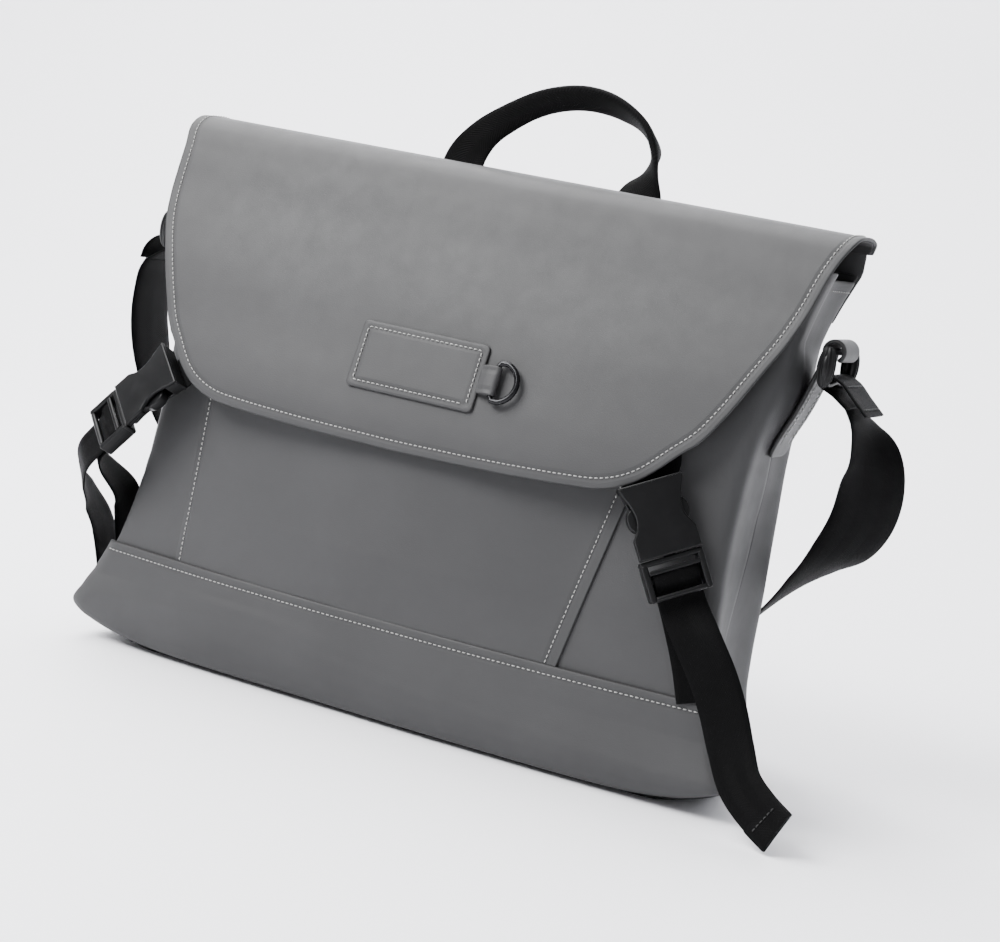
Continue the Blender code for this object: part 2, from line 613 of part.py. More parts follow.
def side_tab(label, side):
    """Leather tab sewn low on the gusset; its top end is rolled round the ring's upper bar."""
    x, z = RING_BAR
    roll = [(x + 4.2 * math.cos(t), z + 4.2 * math.sin(t)) for t in np.radians(np.linspace(190, -50, 13))]
    section = [(180.5, 188), (183, 196), (190, 213), (195.5, 230), (198.2, 241)] + roll
    centres = [(side * px, RING_Y, pz) for px, pz in section]
    tab = ribbon(centres, [(0, 1, 0)] * len(centres), [25.0] * len(centres), 2.4)
    finish_object("side_tab_" + label, tab, LEATHER_SHADE)


def side_ring(label, side):
    """Ring that hangs in the tab: two bars along Y and two thick ribbed ends."""
    x, z = RING_BAR
    low = -RING_HEIGHT
    path = [(-20, 0, 0), (0, 0, 0), (20, 0, 0), (22.5, -2, 0), (22.5, low + 2, 0), (20, low, 0),
            (0, low, 0), (-20, low, 0), (-22.5, low + 2, 0), (-22.5, -2, 0)]
    frame = Matrix(((0, 0, side, side * x), (side, 0, 0, RING_Y), (0, 1, 0, z), (0, 0, 0, 1)))
    ring = closed_loop(tube_rings(path, SIDE_RING_WIRE, 8))
    finish_object("side_ring_" + label, ring, PLASTIC_BLACK, 0.4, frame=frame)


def strap_end(label, side):
    """Folded and sewn end of the shoulder strap, looped round the ring's lower bar."""
    x, z = RING_BAR[0], RING_BAR[1] - RING_HEIGHT
    turn = [(x + 3.4 * math.cos(t), z + 3.4 * math.sin(t)) for t in np.radians(np.linspace(60, 245, 9))]
    section = list(STRAP_END_TIPS[label]) + turn[1:] + [(208.5, 226.6), (212, 224.3), (215.4, 222.0)]
    centres = [(side * px, RING_Y, pz) for px, pz in section]
    end = ribbon(centres, [(0, 1, 0)] * len(centres), [SHOULDER_WIDTH - 2] * len(centres), WEBBING)
    finish_object("strap_end_" + label, end, FABRIC_BLACK, 0.8)


# Each point of the strap: place and width direction, from the right end to the left end
SHOULDER_ROUTE = (
    ((216.9, 10, 221.0), (0, 1, 0)), ((220.2, 10, 216), (0, 1, 0)), ((224.5, 12, 207), (0.2, 1, 0)),
    ((229, 18, 194), (0.55, 0.8, 0.1)), ((229.5, 27, 177), (0.8, 0.6, 0.15)),
    ((225.5, 37, 160), (0.88, 0.5, 0.15)), ((216, 47, 142), (0.85, 0.4, 0.3)),
    ((198, 57, 122), (0.7, 0.35, 0.55)), ((172, 70, 95), (0.6, 0.3, 0.75)), ((145, 83, 64), (0.5, 0.3, 0.8)),
    ((120, 94, 41), (0.4, 0.2, 0.9)), ((95, 104, 29), (0.3, 0, 0.95)), ((67, 112, 25), (0.1, 0, 1)),
    ((40, 116, 24), (0, 0, 1)), ((10, 113.5, 24), (0, 0, 1)), ((-20, 111, 24), (0, 0, 1)),
    ((-50, 108.5, 24), (0, 0, 1)), ((-80, 106, 24), (0, 0, 1)), ((-110, 98, 26), (-0.2, 0, 1)),
    ((-138, 85, 35), (-0.4, 0.05, 0.9)), ((-163, 76, 54), (-0.5, 0.2, 0.8)),
    ((-184, 66, 76), (-0.5, 0.45, 0.65)), ((-201, 56, 98), (-0.4, 0.65, 0.5)),
    ((-213, 45, 120), (-0.25, 0.85, 0.3)), ((-220, 33, 143), (-0.1, 1, 0.1)), ((-223, 23, 165), (0, 1, 0)),
    ((-223.5, 15, 186), (0, 1, 0)), ((-222, 11, 203), (0, 1, 0)), ((-220, 10, 215), (0, 1, 0)),
    ((-216.9, 10, 221.0), (0, 1, 0)))
SLIDER_PLACE = 15  # the point of the route that the adjuster is on; the route is straight on both sides


def shoulder_strap():
    """Two webbings that meet in the adjuster behind the bag."""
    places, directions = zip(*SHOULDER_ROUTE)
    for label, part in (("right", slice(0, SLIDER_PLACE + 1)), ("left", slice(SLIDER_PLACE, None))):
        centres = along(places[part], 34)
        towards = along(places[part], 34, directions[part])
        meeting = -1 if label == "right" else 0
        inward = 1 if label == "left" else -2
        step = centres[inward] - centres[meeting]
        centres[meeting] += GAP / 2 * step / np.linalg.norm(step)
        strap = ribbon(centres, towards, [SHOULDER_WIDTH] * len(centres), WEBBING)
        finish_object("shoulder_strap_" + label, strap, FABRIC_BLACK, 0.8)


def strap_slider():
    """Three-bar adjuster: the strap passes behind the outer bars and over the middle one."""
    here, ahead = Vector(SHOULDER_ROUTE[SLIDER_PLACE][0]), Vector(SHOULDER_ROUTE[SLIDER_PLACE - 1][0])
    along_strap = (ahead - here).normalized()
    up = Vector((0, 0, 1))
    place = Matrix((along_strap, up, along_strap.cross(up))).transposed().to_4x4()
    place.translation = here
    inner, outer = SHOULDER_WIDTH / 2 + 0.6, SHOULDER_WIDTH / 2 + 3.4
    blocks = [((-14, 14), (low, high), (-3.2, 3.2)) for low, high in ((-outer, -inner), (inner, outer))]
    blocks += [((low, low + 3.5), (-inner, inner), (1.2, 3.2)) for low in (-14, 10.5)]
    blocks.append(((-2, 2), (-inner, inner), (-3.2, -1.2)))
    finish_object("strap_slider", joined_boxes(blocks), PLASTIC_BLACK, 0.4, frame=place)


def suspension():
    for label, side in (("left", -1), ("right", 1)):
        side_tab(label, side)
        side_ring(label, side)
        strap_end(label, side)
    shoulder_strap()
    strap_slider()


def main():
    for old in list(bpy.data.objects):
        bpy.data.objects.remove(old, do_unlink=True)
    shell_panels()
    bottom_band()
    base()
    pocket_panel()
    interior()
    flap()
    flap_back_strip()
    patch_and_ring()
    carry_handle()
    closures()
    suspension()


main()
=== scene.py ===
import math

import bmesh
import bpy
import numpy as np
from mathutils import Matrix, Vector, noise


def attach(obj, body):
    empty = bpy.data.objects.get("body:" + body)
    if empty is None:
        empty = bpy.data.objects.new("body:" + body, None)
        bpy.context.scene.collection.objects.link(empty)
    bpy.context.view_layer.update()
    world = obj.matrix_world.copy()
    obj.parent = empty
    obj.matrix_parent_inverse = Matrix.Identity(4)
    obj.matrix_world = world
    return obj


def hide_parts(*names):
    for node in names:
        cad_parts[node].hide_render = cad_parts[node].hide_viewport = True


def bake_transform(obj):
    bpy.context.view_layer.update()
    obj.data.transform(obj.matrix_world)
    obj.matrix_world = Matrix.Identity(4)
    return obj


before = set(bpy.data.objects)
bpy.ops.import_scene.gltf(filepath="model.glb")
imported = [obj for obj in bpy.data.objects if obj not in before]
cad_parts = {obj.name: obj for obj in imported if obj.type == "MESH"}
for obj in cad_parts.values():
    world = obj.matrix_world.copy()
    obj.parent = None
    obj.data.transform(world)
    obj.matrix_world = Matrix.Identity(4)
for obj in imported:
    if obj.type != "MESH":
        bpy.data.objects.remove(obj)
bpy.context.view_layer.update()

MM = 0.001

# ---------------------------------------------------------------- driving dimensions

# Shell: (height, value) pairs
FRONT_Y = ((0, -44), (12, -56), (28, -60), (59, -58), (104, -54), (154, -49), (204, -41), (254, -24),
           (290, -8))
FRONT_BULGE = ((0, 10), (28, 13), (59, 13), (154, 13), (204, 10), (290, 2))
FRONT_HALF_WIDTH = ((0, 190), (10, 203), (28, 200), (59, 189), (104, 181), (154, 178), (204, 180), (254, 188),
                    (290, 195))
BACK_HALF_WIDTH = ((0, 180), (10, 186), (59, 183), (110, 183), (150, 182), (185, 181), (220, 182), (245, 186),
                   (264, 191), (290, 201))
GUSSET_PINCH = ((0, 0), (60, 5), (150, 5), (210, 2), (290, 4))
BODY_TOP = 288.0
BODY_BOTTOM = 3.2
BACK_Y = 40.0
BACK_BULGE = 4.0
LEATHER = 1.8
FRONT_RECESS = 2.4  # the front panel lies this far behind the band's face
BAND_TOP = 59.0
BAND_FOOT_Y = -36.4
CORNER_LIFT = 9.0
CREASE = ((-200, 24), (-176, 28), (-116, 34), (0, 27), (192, 16), (205, 15))  # (X, height) of the fold

# Flap: (Y, Z) of its middle section from the seam at the back to the lower edge
FLAP_PROFILE = ((43.0, 302.0), (40.5, 306.5), (33.0, 309.0), (16.0, 310.0), (3.0, 308.5), (-7.0, 302.5),
                (-14.5, 290.0), (-23.5, 270.0), (-33.0, 250.0), (-41.5, 230.0), (-52.0, 199.0), (-58.0, 180.0),
                (-61.5, 166.0), (-63.5, 152.0))
FLAP_SIDE = ((150, 146), (168, 151), (187, 158.5), (194, 163.5), (203, 168.5), (234, 183), (249, 189.5),
             (263, 193.5), (295, 199.5), (303, 202), (312, 204))  # half width at each height
FLAP_SHIFT = ((150, -9), (168, -8.7), (203, -6.5), (249, -5.5), (302, -1.5), (312, -0.5))  # its middle's X
FLAP_EDGE = ((0, 153), (0.5, 154.5), (0.7, 156), (0.8, 157.5), (0.86, 160.5), (0.93, 168), (0.97, 177.5),
             (1, 189))  # height of the free edge at each share of the half width
FLAP_TILT = 1.5  # the right end of the lower edge sits this much higher, and the left end lower
FLAP_BULGE = 8.0
FLAP_LEATHER = 1.7
FLAP_LINING = 0.9

STITCH_PITCH = 2.9
STITCH_LENGTH = 2.1
THREAD = 0.33  # radius
SEAM_INSET = 4.2  # from an edge to its stitches

CLOSURE_WIDTH = 25.0
WEBBING = 1.4
SHOULDER_WIDTH = 38.0


# ---------------------------------------------------------------- curves and grids

def smooth(pairs, t):
    """Value at t, a number or an array, of a smooth curve through (t, value) pairs."""
    xs, ys = np.array(pairs, float).T
    slopes = np.gradient(ys, xs)
    t = np.clip(np.asarray(t, float), xs[0], xs[-1])
    i = np.clip(np.searchsorted(xs, t) - 1, 0, len(xs) - 2)
    step = xs[i + 1] - xs[i]
    u = (t - xs[i]) / step
    ends = ys[i] * (1 + 2 * u) * (1 - u) ** 2 + ys[i + 1] * u * u * (3 - 2 * u)
    return ends + step * (slopes[i] * u * (1 - u) ** 2 - slopes[i + 1] * u * u * (1 - u))


def lengths_along(points):
    """Distance from the first point to each point of a polyline."""
    return np.concatenate(([0], np.cumsum(np.linalg.norm(np.diff(points, axis=0), axis=1))))


def along(points, count, values=None):
    """Evenly spaced points on a smooth curve through the given points, or the values that go with them."""
    points = np.array(points, float)
    values = points if values is None else np.array(values, float)
    lengths = lengths_along(points)
    places = np.linspace(0, lengths[-1], count)
    return np.array([smooth(np.column_stack((lengths, column)), places) for column in values.T]).T


def resample(points, count):
    """Evenly spaced points on the straight-sided line through the points."""
    points = np.array(points, float)
    lengths = lengths_along(points)
    places = np.linspace(0, lengths[-1], count)
    return np.array([np.interp(places, lengths, column) for column in points.T]).T


def swept(route, directions, count):
    """Centre line of a strap and its width direction at each point."""
    return along(route, count), along(route, count, directions)


def bell(reach, width):
    """Weights of a bell curve, from -reach to reach steps."""
    weights = np.exp(-0.5 * (np.arange(-reach, reach + 1) / width) ** 2)
    return weights / weights.sum()


def unit(vectors):
    vectors = np.asarray(vectors, float)
    return vectors / np.maximum(np.linalg.norm(vectors, axis=-1, keepdims=True), 1e-9)


def tangents_of(points, closed=False):
    if closed:
        return unit(np.roll(points, -1, axis=0) - np.roll(points, 1, axis=0))
    return unit(np.gradient(np.array(points, float), axis=0))


def grid_normals(grid):
    """Unit normals of a grid of points; rows by columns gives the side they face."""
    return unit(np.cross(np.gradient(grid, axis=0), np.gradient(grid, axis=1)))


def soft_noise(points, size, seed):
    """Smooth noise from about -1 to 1 at each point, with folds of that size."""
    flat = np.asarray(points, float).reshape(-1, 3) / size
    values = [noise.noise(Vector((p[0] + seed, p[1] - seed, p[2] + 2 * seed))) for p in flat]
    return np.array(values).reshape(np.asarray(points).shape[:-1]) * 1.6


def border_of(rows, columns):
    """(row, column) of each border point of a grid, once round."""
    border = [(0, c) for c in range(columns)] + [(r, columns - 1) for r in range(1, rows)]
    border += [(rows - 1, c) for c in range(columns - 2, -1, -1)]
    return border + [(r, 0) for r in range(rows - 2, 0, -1)]


def distance_to(points, line):
    """Distance from each point to the nearest point of a dense line."""
    flat = np.asarray(points, float).reshape(-1, 3)
    best = np.full(len(flat), 1e9)
    for chunk in np.array_split(np.asarray(line, float), max(1, len(line) // 60)):
        gaps = np.linalg.norm(flat[:, None, :] - chunk[None, :, :], axis=2).min(axis=1)
        best = np.minimum(best, gaps)
    return best


# ---------------------------------------------------------------- meshes

SEAM_STEP = 1.5  # between the points of a seam line
FAR = 99.0  # 'seam' value of a sheet with no seam
STITCH_RINGS = 7
STITCH_SIDES = 6
STITCH_LIFT = 0.12
PATH_STEP = 0.7  # between the points that stitches are laid along
WEBBING_COLUMNS = 9


def make(name, verts, faces, finish, body, slot, nodes=(), fields=None, uv=None, sharp=None):
    """Named mesh piece from millimetre points, with its material, body and the CAD nodes it stands for."""
    mesh = bpy.data.meshes.new(name)
    mesh.from_pydata([tuple(v) for v in np.asarray(verts, float) * MM], [], faces)
    for field, values in (fields or {}).items():
        attribute = mesh.attributes.new(field, "FLOAT", "POINT")
        attribute.data.foreach_set("value", np.asarray(values, np.float32))
    if uv is not None:
        layer = mesh.uv_layers.new(name="UVMap")
        corners = np.empty(len(mesh.loops), dtype=np.int32)
        mesh.loops.foreach_get("vertex_index", corners)
        layer.data.foreach_set("uv", (np.asarray(uv, np.float32) * MM)[corners].ravel())
    bm = bmesh.new()
    bm.from_mesh(mesh)
    bmesh.ops.recalc_face_normals(bm, faces=bm.faces)
    bm.to_mesh(mesh)
    bm.free()
    mesh.shade_smooth()
    if sharp is not None:
        mesh.set_sharp_from_angle(angle=math.radians(sharp))
    mesh.materials.append(finish)
    piece = bpy.data.objects.new(name, mesh)
    bpy.context.scene.collection.objects.link(piece)
    if body is not None:
        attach(piece, body)
    if nodes:
        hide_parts(*nodes)
    return piece


def look(node, shape, finish, body, slot, place=None, **more):
    """Piece that stands for one CAD node, from (points, faces), taken through a frame if one is given."""
    verts, faces = shape
    verts = verts if place is None else moved(verts, place)
    return make(node + "_look", verts, faces, finish, body, slot, [node], **more)


def facing_normals(grid, facing):
    """Normals of a grid, turned so that its middle faces that way."""
    normals = grid_normals(grid)
    middle = normals[grid.shape[0] // 2, grid.shape[1] // 2]
    return normals if np.dot(middle, facing) > 0 else -normals


def slab(grid, thickness, facing, rim_steps=4):
    """Points, faces and source points of a sheet with round rims; the grid is its outer face.

    Returns (verts, faces, sources); sources is each vertex's (row, column) in the grid.
    """
    grid = np.asarray(grid, float)
    rows, columns = grid.shape[:2]
    normals = facing_normals(grid, facing)
    middle = grid - normals * thickness / 2
    verts, sources, faces = [], [], []
    for side in (1, -1):
        verts.append((middle + side * normals * thickness / 2).reshape(-1, 3))
        sources += [(r, c) for r in range(rows) for c in range(columns)]
        base = rows * columns * (0 if side == 1 else 1)
        for r in range(rows - 1):
            for c in range(columns - 1):
                a = base + r * columns + c
                quad = (a, a + 1, a + columns + 1, a + columns)
                faces.append(quad if side == 1 else quad[::-1])
    border = border_of(rows, columns)
    where = np.array([middle[r, c] for r, c in border])
    out = np.array([normals[r, c] for r, c in border])
    away = unit(np.cross(tangents_of(where, closed=True), out))
    centre = middle.reshape(-1, 3).mean(axis=0)
    if np.sum((where - centre) * away) < 0:
        away = -away
    rings = [[r * columns + c for r, c in border]]
    count = 2 * rows * columns
    for step in range(1, rim_steps):
        turn = math.pi / 2 - math.pi * step / rim_steps
        verts.append(where + thickness / 2 * (math.sin(turn) * out + math.cos(turn) * away))
        sources += border
        rings.append([count + i for i in range(len(border))])
        count += len(border)
    rings.append([rows * columns + r * columns + c for r, c in border])
    for low, high in zip(rings, rings[1:]):
        for i in range(len(border)):
            j = (i + 1) % len(border)
            faces.append((low[i], low[j], high[j], high[i]))
    return np.concatenate(verts), faces, sources


def sheet_piece(node, grid, thickness, finish, body, slot, seams=(), facing=(0, -1, 0)):
    """Leather sheet; 'seam' is each point's distance to the nearest seam, and 'rim' marks the cut edge."""
    verts, faces, sources = slab(grid, thickness, facing)
    field = np.full(grid.shape[:2], FAR)
    if len(seams):
        counts = [max(8, int(lengths_along(np.array(seam))[-1] / SEAM_STEP)) for seam in seams]
        line = np.concatenate([resample(seam, count) for seam, count in zip(seams, counts)])
        field = distance_to(grid, line).reshape(grid.shape[:2])
    rows, columns = zip(*sources)
    rim = np.ones(len(verts))
    rim[:2 * grid.shape[0] * grid.shape[1]] = 0
    fields = {"seam": field[rows, columns], "rim": rim}
    look(node, (verts, faces), finish, body, slot, fields=fields)


def stitch_mesh(path, normals):
    """Row of stitches along a dense path: each one bows out of the leather and dives in at both ends."""
    total = lengths_along(path)
    count = max(1, int((total[-1] - STITCH_LENGTH) / STITCH_PITCH))
    start = (total[-1] - STITCH_PITCH * (count - 1) - STITCH_LENGTH) / 2
    verts, faces = [], []
    shares = np.linspace(-1, 1, STITCH_RINGS)
    turns = np.linspace(0, 2 * math.pi, STITCH_SIDES, endpoint=False)
    for k in range(count):
        places = start + k * STITCH_PITCH + STITCH_LENGTH * (shares + 1) / 2
        points = np.array([np.interp(places, total, column) for column in path.T]).T
        out = unit(np.array([np.interp(places, total, column) for column in normals.T]).T)
        ahead = tangents_of(points)
        across = unit(np.cross(ahead, out))
        rise = STITCH_LIFT + THREAD * 0.9 - (THREAD * 2.3) * np.abs(shares) ** 3
        centres = points + out * rise[:, None]
        radii = THREAD * (1 - 0.45 * shares ** 4)
        rings = [[centre + radius * (math.cos(turn) * a + math.sin(turn) * o) for turn in turns]
                 for centre, o, a, radius in zip(centres, out, across, radii)]
        stitch_verts, stitch_faces = loft(rings)
        faces += [tuple(len(verts) + i for i in face) for face in stitch_faces]
        verts += stitch_verts
    return verts, faces


def stitches(name, paths, body, slot="leather_grey"):
    """One piece of thread stitches from (points, normals) paths."""
    rows = []
    for points, normals in paths:
        points, normals = np.array(points, float), np.array(normals, float)
        lengths = lengths_along(points)
        places = np.linspace(0, lengths[-1], max(30, int(lengths[-1] / PATH_STEP)))
        path, out = (np.array([np.interp(places, lengths, column) for column in values.T]).T
                     for values in (points, normals))
        rows.append(stitch_mesh(path, unit(out)))
    finish = BLACK_THREAD_FINISH if slot == "webbing_black" else THREAD_FINISH
    make(name, *joined(*rows), finish, body, slot)


def strap_mesh(centres, towards, width, thickness, camber):
    """Flat webbing with round selvages: points, faces and UVs (across, along) in millimetres."""
    centres = np.array(centres, float)
    ahead = tangents_of(centres)
    across = np.array(towards, float)
    across = unit(across - ahead * np.sum(across * ahead, axis=1, keepdims=True))
    out = np.cross(ahead, across)
    # (share of the half width, share of the half thickness) round the section, from the left of its face
    shares = np.linspace(-1, 1, WEBBING_COLUMNS)
    section = [(share, 1.0) for share in shares] + [(1.0, 1 / 3), (1.0, -1 / 3)]
    section += [(share, -1.0) for share in shares[::-1]] + [(-1.0, -1 / 3), (-1.0, 1 / 3)]
    rings, uv = [], []
    half_thick = thickness / 2
    round_edge = half_thick * 0.7
    for centre, a, o, place in zip(centres, across, out, lengths_along(centres)):
        ring = []
        for share, level in section:
            bow = camber * (1 - share * share)
            x = share * (width / 2 - round_edge)
            if abs(level) < 1:
                x += share * round_edge * math.sqrt(1 - level * level)
            rise = half_thick * level * (1.0 if abs(share) < 1 else 0.8) + bow
            ring.append(centre + a * x + o * rise)
            uv.append((share * width / 2, place))
        rings.append(ring)
    return *loft(rings), np.array(uv)


def strap_piece(name, centres, towards, width, thickness, body, nodes=(), camber=0.0, finish=None):
    verts, faces, uv = strap_mesh(centres, towards, width, thickness, camber)
    return make(name, verts, faces, finish or WEBBING_FINISH, body, "webbing_black", nodes, uv=uv, sharp=60)


def pillow(outline, low, high, edge, steps=3):
    """Moulded plate from an XY outline: flat faces at two heights, joined by round edges of that radius."""
    outline = np.array(outline, float)
    inward = tangents_of(outline, closed=True)
    inward = np.column_stack((-inward[:, 1], inward[:, 0]))
    if np.sum((outline - outline.mean(axis=0)) * inward) > 0:
        inward = -inward
    levels = [(edge * (1 - math.sin(t)), low + edge * (1 - math.cos(t)))
              for t in np.linspace(0, math.pi / 2, steps + 1)]
    levels += [(edge * (1 - math.cos(t)), high - edge * (1 - math.sin(t)))
               for t in np.linspace(0, math.pi / 2, steps + 1)]
    rings = [[(x + dx * inset, y + dy * inset, z) for (x, y), (dx, dy) in zip(outline, inward)]
             for inset, z in levels]
    return loft(rings)


def loft(rings, closed_path=False, caps=True):
    """Points and faces through rings of equal length."""
    count = len(rings[0])
    verts = [point for ring in rings for point in ring]
    faces = []
    last = len(rings) if closed_path else len(rings) - 1
    for ring in range(last):
        other = (ring + 1) % len(rings)
        for i in range(count):
            j = (i + 1) % count
            quad = (ring * count + i, ring * count + j, other * count + j, other * count + i)
            faces.append(quad)
    if caps and not closed_path:
        faces.append(tuple(range(count - 1, -1, -1)))
        faces.append(tuple((len(rings) - 1) * count + i for i in range(count)))
    return verts, faces


def tube(path, radius, sides=12, closed=False, up=(0, 0, 1)):
    """Round wire along a path; radius may change along it."""
    path = np.array(path, float)
    ahead = tangents_of(path, closed)
    radii = np.broadcast_to(np.asarray(radius, float), (len(path),))
    rings = []
    for point, tangent, r in zip(path, ahead, radii):
        side = unit(np.cross(tangent, up))
        other = np.cross(side, tangent)
        turns = np.linspace(0, 2 * math.pi, sides, endpoint=False)
        rings.append([point + r * (math.cos(t) * side + math.sin(t) * other) for t in turns])
    return loft(rings, closed_path=closed)


def moved(verts, place):
    """Points taken through a frame."""
    return np.array([tuple(place @ Vector(v)) for v in verts])


def joined(*parts):
    """Several (verts, faces) as one."""
    verts, faces = [], []
    for part_verts, part_faces in parts:
        faces += [tuple(len(verts) + i for i in face) for face in part_faces]
        verts += [tuple(v) for v in part_verts]
    return verts, faces


def arc(centre, radius, start, end, count):
    turns = np.radians(np.linspace(start, end, count))
    return [(centre[0] + radius * math.cos(t), centre[1] + radius * math.sin(t)) for t in turns]


def rounded_rectangle(x, y, radius, steps=6):
    """Outline of a rectangle from two (low, high) pairs with round corners."""
    outline = []
    corners = ((x[1] - radius, y[0] + radius, -90), (x[1] - radius, y[1] - radius, 0),
               (x[0] + radius, y[1] - radius, 90), (x[0] + radius, y[0] + radius, 180))
    for cx, cy, start in corners:
        outline += arc((cx, cy), radius, start, start + 90, steps)
    return outline


# ---------------------------------------------------------------- materials

class Nodes:
    """Small helper to wire one material's nodes."""

    def __init__(self, name, colour, roughness, metallic=0.0):
        self.material = bpy.data.materials.new(name)
        self.material.use_nodes = True
        self.tree = self.material.node_tree
        self.shader = self.tree.nodes["Principled BSDF"]
        self.shader.inputs["Base Color"].default_value = (*colour, 1)
        self.shader.inputs["Roughness"].default_value = roughness
        self.shader.inputs["Metallic"].default_value = metallic

    def add(self, kind, settings=None, **inputs):
        """Node of that kind; a value that is a socket is linked, any other is set."""
        node = self.tree.nodes.new("ShaderNode" + kind)
        for key, value in (settings or {}).items():
            setattr(node, key, value)
        for key, value in inputs.items():
            self.feed(node.inputs[key], value)
        return node

    def feed(self, socket, value):
        if isinstance(value, bpy.types.NodeSocket):
            self.tree.links.new(value, socket)
        else:
            socket.default_value = value

    def maths(self, operation, a, b=0.0, c=0.0):
        node = self.add("Math", {"operation": operation})
        for socket, value in zip(node.inputs, (a, b, c)):
            self.feed(socket, value)
        return node.outputs[0]

    def place(self):
        return self.add("TexCoord").outputs["Object"]

    def noise(self, scale, detail=2.0, roughness=0.5):
        node = self.add("TexNoise", Vector=self.place(), Scale=scale, Detail=detail, Roughness=roughness)
        return node.outputs["Fac"]

    def spread(self, value, low, high, to_low, to_high):
        node = self.add("MapRange", {"clamp": True}, Value=value)
        for socket, number in zip(list(node.inputs)[1:5], (low, high, to_low, to_high)):
            self.feed(socket, number)
        return node.outputs[0]

    def mix(self, share, a, b):
        node = self.add("Mix", {"data_type": "RGBA"})
        for socket, value in ((node.inputs[0], share), (node.inputs[6], a), (node.inputs[7], b)):
            self.feed(socket, (*value, 1) if isinstance(value, tuple) and len(value) == 3 else value)
        return node.outputs[2]

    def colour(self, value):
        self.feed(self.shader.inputs["Base Color"], value)

    def rough(self, value):
        self.feed(self.shader.inputs["Roughness"], value)

    def bump(self, height, distance, strength=1.0, below=None):
        """Bump of that height field; distance is metres for a height of 1."""
        node = self.add("Bump", Height=height, Distance=distance, Strength=strength)
        if below is not None:
            self.tree.links.new(below, node.inputs["Normal"])
        return node.outputs["Normal"]

    def normal(self, value):
        self.tree.links.new(value, self.shader.inputs["Normal"])


def leather(name, colour, roughness=0.56, seam_depth=0.35):
    """Coated leather: fine grain, faint mottling, and a pressed groove along each line of stitches, with painted
    shade darkening the groove.
    """
    made = Nodes(name, colour, roughness)
    seam = made.add("Attribute", {"attribute_name": "seam"}).outputs["Fac"]
    cells = made.add("TexVoronoi", {"feature": "F1"}, Vector=made.place(), Scale=1500.0, Randomness=1.0)
    fine = made.noise(2600.0, 2.0)
    broad = made.noise(14.0, 3.0, 0.55)
    patches = made.noise(90.0, 3.0, 0.6)
    dark = tuple(0.90 * c for c in colour)
    light = tuple(min(1.0, 1.07 * c) for c in colour)
    tone = made.mix(made.spread(broad, 0.3, 0.7, 0, 1), dark, light)
    tone = made.mix(made.spread(patches, 0.35, 0.75, 0, 0.35), tone, tuple(0.93 * c for c in colour))
    rim = made.add("Attribute", {"attribute_name": "rim"}).outputs["Fac"]
    tone = made.mix(made.maths("MULTIPLY", rim, 0.6), tone, tuple(0.3 * c for c in colour))
    # painted shade: the leather colour is darkened in the stitch groove, where shade falls
    groove_shade = made.spread(seam, 0.2, 1.7, 1, 0)
    tone = made.mix(made.maths("MULTIPLY", groove_shade, 0.35), tone, tuple(0.45 * c for c in colour))
    made.colour(tone)
    made.rough(made.spread(made.maths("ADD", patches, fine), 0.6, 1.4, roughness - 0.05, roughness + 0.06))
    valley = made.spread(seam, 0.0, 2.4, 0, 1)
    below = made.bump(valley, seam_depth * MM, 0.9)
    below = made.bump(cells.outputs[0], 0.00006, 0.5, below)
    made.normal(made.bump(fine, 0.00003, 0.35, below))
    made.shader.inputs["Specular IOR Level"].default_value = 0.25
    return made.material


def webbing(name, colour, width, stripes, pitch=1.15, depth=0.16):
    """Woven webbing by the strap's own UVs: twill ribs that turn back at each stripe, plain selvages."""
    made = Nodes(name, colour, 0.62)
    uv = made.add("UVMap", {"uv_map": "UVMap"}).outputs["UV"]
    parts = made.add("SeparateXYZ", Vector=uv)
    across, length = parts.outputs[0], parts.outputs[1]
    stripe = width * MM / stripes
    zigzag = made.maths("PINGPONG", made.maths("ADD", across, width * MM), stripe)
    ribs = made.maths("ADD", length, zigzag)
    turn = made.maths("MULTIPLY", ribs, 2 * math.pi / (pitch * MM))
    wave = made.spread(made.maths("SINE", turn), -1, 1, 0, 1)
    cords = made.maths("SINE", made.maths("MULTIPLY", across, 2 * math.pi / (0.85 * MM)))
    weave = made.maths("ADD", made.maths("MULTIPLY", wave, 0.75), made.maths("MULTIPLY", cords, 0.18))
    fuzz = made.noise(1800.0, 3.0)
    wear = made.noise(35.0, 3.0, 0.6)
    selvage = made.spread(made.maths("ABSOLUTE", across), width * MM * 0.455, width * MM * 0.475, 0, 1)
    height = made.mix(selvage, weave, made.maths("MULTIPLY", fuzz, 0.6))
    light = tuple(1.9 * c for c in colour)
    tone = made.mix(made.maths("MULTIPLY", wave, 0.75), colour, light)
    tone = made.mix(made.spread(wear, 0.45, 0.75, 0, 0.35), tone, tuple(2.4 * c for c in colour))
    made.colour(tone)
    made.rough(made.spread(fuzz, 0.3, 0.7, 0.52, 0.72))
    below = made.bump(height, depth * MM, 0.8)
    made.normal(made.bump(fuzz, 0.00005, 0.4, below))
    made.shader.inputs["Specular IOR Level"].default_value = 0.04
    return made.material


def moulded(name, colour, roughness=0.36):
    """Moulded plastic: fine spark texture, slight sink marks, and lighter rubbed places."""
    made = Nodes(name, colour, roughness)
    spark = made.noise(2200.0, 3.0, 0.6)
    sink = made.noise(120.0, 2.0)
    rubbed = made.spread(made.noise(60.0, 4.0, 0.65), 0.52, 0.72, 0, 0.5)
    made.colour(made.mix(rubbed, colour, tuple(2.0 * c for c in colour)))
    made.rough(made.spread(made.maths("ADD", sink, spark), 0.6, 1.4, roughness - 0.06, roughness + 0.09))
    below = made.bump(sink, 0.00012, 0.4)
    made.normal(made.bump(spark, 0.00004, 0.5, below))
    made.shader.inputs["Specular IOR Level"].default_value = 0.16
    return made.material


